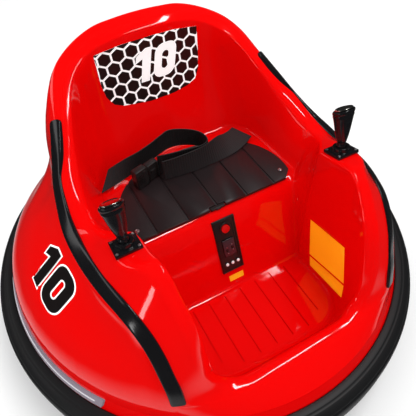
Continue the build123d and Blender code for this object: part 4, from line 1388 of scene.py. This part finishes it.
# %% A pale line along each lens, a painted highlight
# The pale line stands in for the highlight along the top of the lens: a painted highlight, not a lit part.
LENS_HIGHLIGHT = finish("light_guide", (0.80, 0.78, 0.82), 0.2)
HIGHLIGHT_LOW, HIGHLIGHT_HIGH, HIGHLIGHT_SUNK, HIGHLIGHT_STAND, HIGHLIGHT_STOPS = 113.6, 115.2, -0.4, 0.35, 90
# How far the lens stands outside the skirt's oval at its foot, and how much less per millimetre up
LENS_FOOT, LENS_REACH, LENS_LEAN = 107.5, 8.11, 5.69 / 16.0
HIGHLIGHT_SECTION = [(HIGHLIGHT_LOW, HIGHLIGHT_SUNK), (HIGHLIGHT_LOW, HIGHLIGHT_STAND), (HIGHLIGHT_HIGH, HIGHLIGHT_STAND),
                 (HIGHLIGHT_HIGH, HIGHLIGHT_SUNK)]
for name, side in SIDES:
    points = [skirt_point(y, LENS_LEAN * (height - LENS_FOOT) - LENS_REACH - stand, side, height)
              for y in np.linspace(56.0, -196.0, HIGHLIGHT_STOPS) for height, stand in HIGHLIGHT_SECTION]
    quads = tube_faces(HIGHLIGHT_STOPS, len(HIGHLIGHT_SECTION))
    quads = quads if side < 0 else [quad[::-1] for quad in quads]
    mesh_piece("light_guide_" + name, points, quads, LENS_HIGHLIGHT, "car", flat=range(len(quads)))
print("light guides made")

# %% [markdown]
# ## The control panel
# The narrow black panel on the seat box has a raised frame, a smoky window with two holes and four
# dots, a ring round the push button and three pale sockets with a painted glow. Its own frame lies in
# the slope of the seat box: x across, y up the slope, z outwards. Boxes and turned parts are placed in that frame.

# %% Frame and window of the control panel
WELL_FRONT, WELL_FLOOR, WELL_SLOPE = -127.0, 95.0, 0.35
PANEL_MIDDLE, PANEL_FACE = 171.0, 0.3 * 2 + 3.0  # two gaps and the plate
well_normal = Vector((0, -1, WELL_SLOPE)).normalized()
well_up = Vector((0, WELL_SLOPE, 1)).normalized()
spot = Vector((0, WELL_FRONT + WELL_SLOPE * (PANEL_MIDDLE - WELL_FLOOR), PANEL_MIDDLE)) + well_normal * PANEL_FACE
PANEL = Matrix.Translation(spot) @ Matrix((Vector((1, 0, 0)), well_up, well_normal)).transposed().to_4x4()
FRAMES = [((-16.6, -46.6, -0.1), (0.9, 93.2, 0.9)), ((15.7, -46.6, -0.1), (0.9, 93.2, 0.9)),
          ((-16.6, 45.7, -0.1), (33.2, 0.9, 0.9)), ((-16.6, -46.6, -0.1), (33.2, 0.9, 0.9)),
          ((12.0, -40.0, -0.1), (0.8, 80.0, 0.7))]
blocks_piece("panel_frame", FRAMES, PANEL, BLACK, 0.25)
WINDOW = finish("smoky_window", (0.045, 0.020, 0.026), 0.25, (300.0, 0.00002))
blocks_piece("panel_window", [((-9.4, -16.4, 1.9), (18.8, 28.8, 0.5))], PANEL, WINDOW, 0.3)
print("panel frame made, boxes:", len(FRAMES))

# %% Turned parts of the control panel


def studs(name, profile, spots, material, count=28):
    """The same turned part, a profile of (radius, height), at several spots of the panel."""
    part = plain_object("stud", *turned([(height, radius, radius) for radius, height in profile], count))
    return copies(name, part, moved([(x, y, 0.0) for x, y in spots], PANEL), [PANEL.to_quaternion()] * len(spots),
                  material)


studs("button_ring", [(9.4, -0.1), (9.4, 1.4), (8.9, 1.9), (7.4, 1.9), (6.9, 1.3), (6.9, 0.0)], [(0, 32.5)], BLACK)
studs("window_holes", [(2.3, 2.2), (2.3, 2.9), (1.9, 3.1), (1.5, 2.6)], [(-4.6, -6.5), (4.6, -3.2)], BLACK_GLOSS)
studs("window_dots", [(0.9, 2.2), (0.9, 2.9), (0.5, 3.1)], [(-4.4, -1.0), (4.6, 1.9), (4.8, -8.0), (-3.6, -12.0)],
      STEEL, 12)
NODES["panel_knobs"].data.materials[0] = BLACK
# The knob heads glow a little though they are no lamps: a painted glow that keeps them bright.
GLOWING_METAL = finish("bright_metal", (0.86, 0.86, 0.88), 0.25, (300.0, 0.00001), Metallic=0.3, Emission_Strength=0.12)
studs("knob_heads", [(2.6, 1.6), (2.6, 2.4), (2.1, 3.3), (1.1, 3.7)], [(x, -31.5) for x in (-9.5, 0.0, 9.5)], GLOWING_METAL)
print("studs of the control panel made")

# %% [markdown]
# ## Floor, surround and light
# The car stands on a white floor in a white surround, as in a product studio. White all round would
# also show as a pale veil in the gloss of the red shells. Light Path tells rays that come from a
# mirror-like face apart, and those see a dark surround and a floor that darkens away from the car.

# %% Floor and surround
bpy.ops.mesh.primitive_plane_add(size=40.0, location=(0, 0, 0))
floor = bpy.context.object
floor.name = "floor"
PALE = bpy.data.materials.new("pale_floor")
PALE.use_nodes = True
tree = PALE.node_tree
pale = tree.nodes["Principled BSDF"]
pale.inputs["Base Color"].default_value = (0.92, 0.92, 0.92, 1.0)
pale.inputs["Roughness"].default_value = 0.9
dim, place, away, far, ray, both, mix = (tree.nodes.new("ShaderNode" + kind) for kind in (
    "BsdfDiffuse", "TexCoord", "VectorMath", "MapRange", "LightPath", "Math", "MixShader"))
dim.inputs["Color"].default_value = (0.02, 0.02, 0.02, 1.0)
away.operation = "LENGTH"
far.interpolation_type = "SMOOTHSTEP"
for key, value in (("From Min", 0.42), ("From Max", 0.58), ("To Min", 0.45)):
    far.inputs[key].default_value = value
both.operation = "MULTIPLY"
wire(tree, (place.outputs["Object"], away.inputs[0]), (away.outputs["Value"], far.inputs["Value"]),
     (far.outputs["Result"], both.inputs[0]), (ray.outputs["Is Glossy Ray"], both.inputs[1]),
     (both.outputs["Value"], mix.inputs[0]), (pale.outputs[0], mix.inputs[1]), (dim.outputs[0], mix.inputs[2]),
     (mix.outputs[0], tree.nodes["Material Output"].inputs["Surface"]))
floor.data.materials.append(PALE)

world = bpy.data.worlds.new("studio")
bpy.context.scene.world = world
world.use_nodes = True
world.cycles.sampling_method = "NONE"
tree = world.node_tree
white = tree.nodes["Background"]
white.inputs["Color"].default_value = (1.0, 1.0, 1.0, 1.0)
white.inputs["Strength"].default_value = 1.0
dark, ray, mix = (tree.nodes.new("ShaderNode" + kind) for kind in ("Background", "LightPath", "MixShader"))
dark.inputs["Color"].default_value = (0.02, 0.02, 0.022, 1.0)
wire(tree, (ray.outputs["Is Glossy Ray"], mix.inputs[0]), (white.outputs[0], mix.inputs[1]),
     (dark.outputs[0], mix.inputs[2]), (mix.outputs[0], tree.nodes["World Output"].inputs["Surface"]))
print("floor and surround made")

# %% [markdown]
# Three soft boxes draw the highlights: a long thin one above for the bright lines along the crests,
# a small one low in front and a wide one at the side. Area lights are chosen for their size, since
# the size of a light is what shows in gloss.

# %% Soft boxes


def soft_box(name, place, aim, size, power):
    """An area light at place that looks at aim."""
    data = bpy.data.lights.new(name, "AREA")
    data.shape = "RECTANGLE"
    data.size, data.size_y = size
    data.energy = power
    light = bpy.data.objects.new(name, data)
    bpy.context.scene.collection.objects.link(light)
    light.location = place
    light.rotation_euler = (Vector(aim) - Vector(place)).to_track_quat("-Z", "Y").to_euler()
    return light


soft_box("key", (0.50, -0.28, 1.9), (0.1, 0, 0.2), (1.2, 0.14), 12.0)
soft_box("front_left", (-1.25, -0.60, 0.30), (-0.16, -0.2, 0.25), (0.12, 0.26), 0.7)
soft_box("side", (-1.3, 0.6, 1.0), (-0.2, 0, 0.25), (1.6, 0.28), 2.2)
print("soft boxes made:", len(bpy.data.lights))

# %% [markdown]
# ## Camera
# The camera was worked out from the ellipse of the ring and the straight lines of the seat box: a
# place, a turn about the vertical, a tilt down, a small roll and a focal length in pixels.

# %% Camera
CAMERA_PLACE = Vector((-0.185229, -0.438421, 0.689912))
TURN, DOWN, ROLL = math.radians(24.957), math.radians(48.360), math.radians(-4.436)
FOCAL_PIXELS, PICTURE_PIXELS = 423.741, 416.0
look = Vector((math.sin(TURN) * math.cos(DOWN), math.cos(TURN) * math.cos(DOWN), -math.sin(DOWN)))
level = Vector((math.cos(TURN), -math.sin(TURN), 0))
above = level.cross(look)
right = math.cos(ROLL) * level + math.sin(ROLL) * above
up = -math.sin(ROLL) * level + math.cos(ROLL) * above
data = bpy.data.cameras.new("camera")
data.sensor_width = 36.0
data.lens = 36.0 * FOCAL_PIXELS / PICTURE_PIXELS
data.clip_start, data.clip_end = 0.01, 100.0
camera = bpy.data.objects.new("camera", data)
bpy.context.scene.collection.objects.link(camera)
camera.matrix_world = Matrix.Translation(CAMERA_PLACE) @ Matrix((right, up, -look)).transposed().to_4x4()
bpy.context.scene.camera = camera
bpy.context.scene.view_settings.view_transform = "Standard"
print("camera made, lens in mm:", round(data.lens, 2))
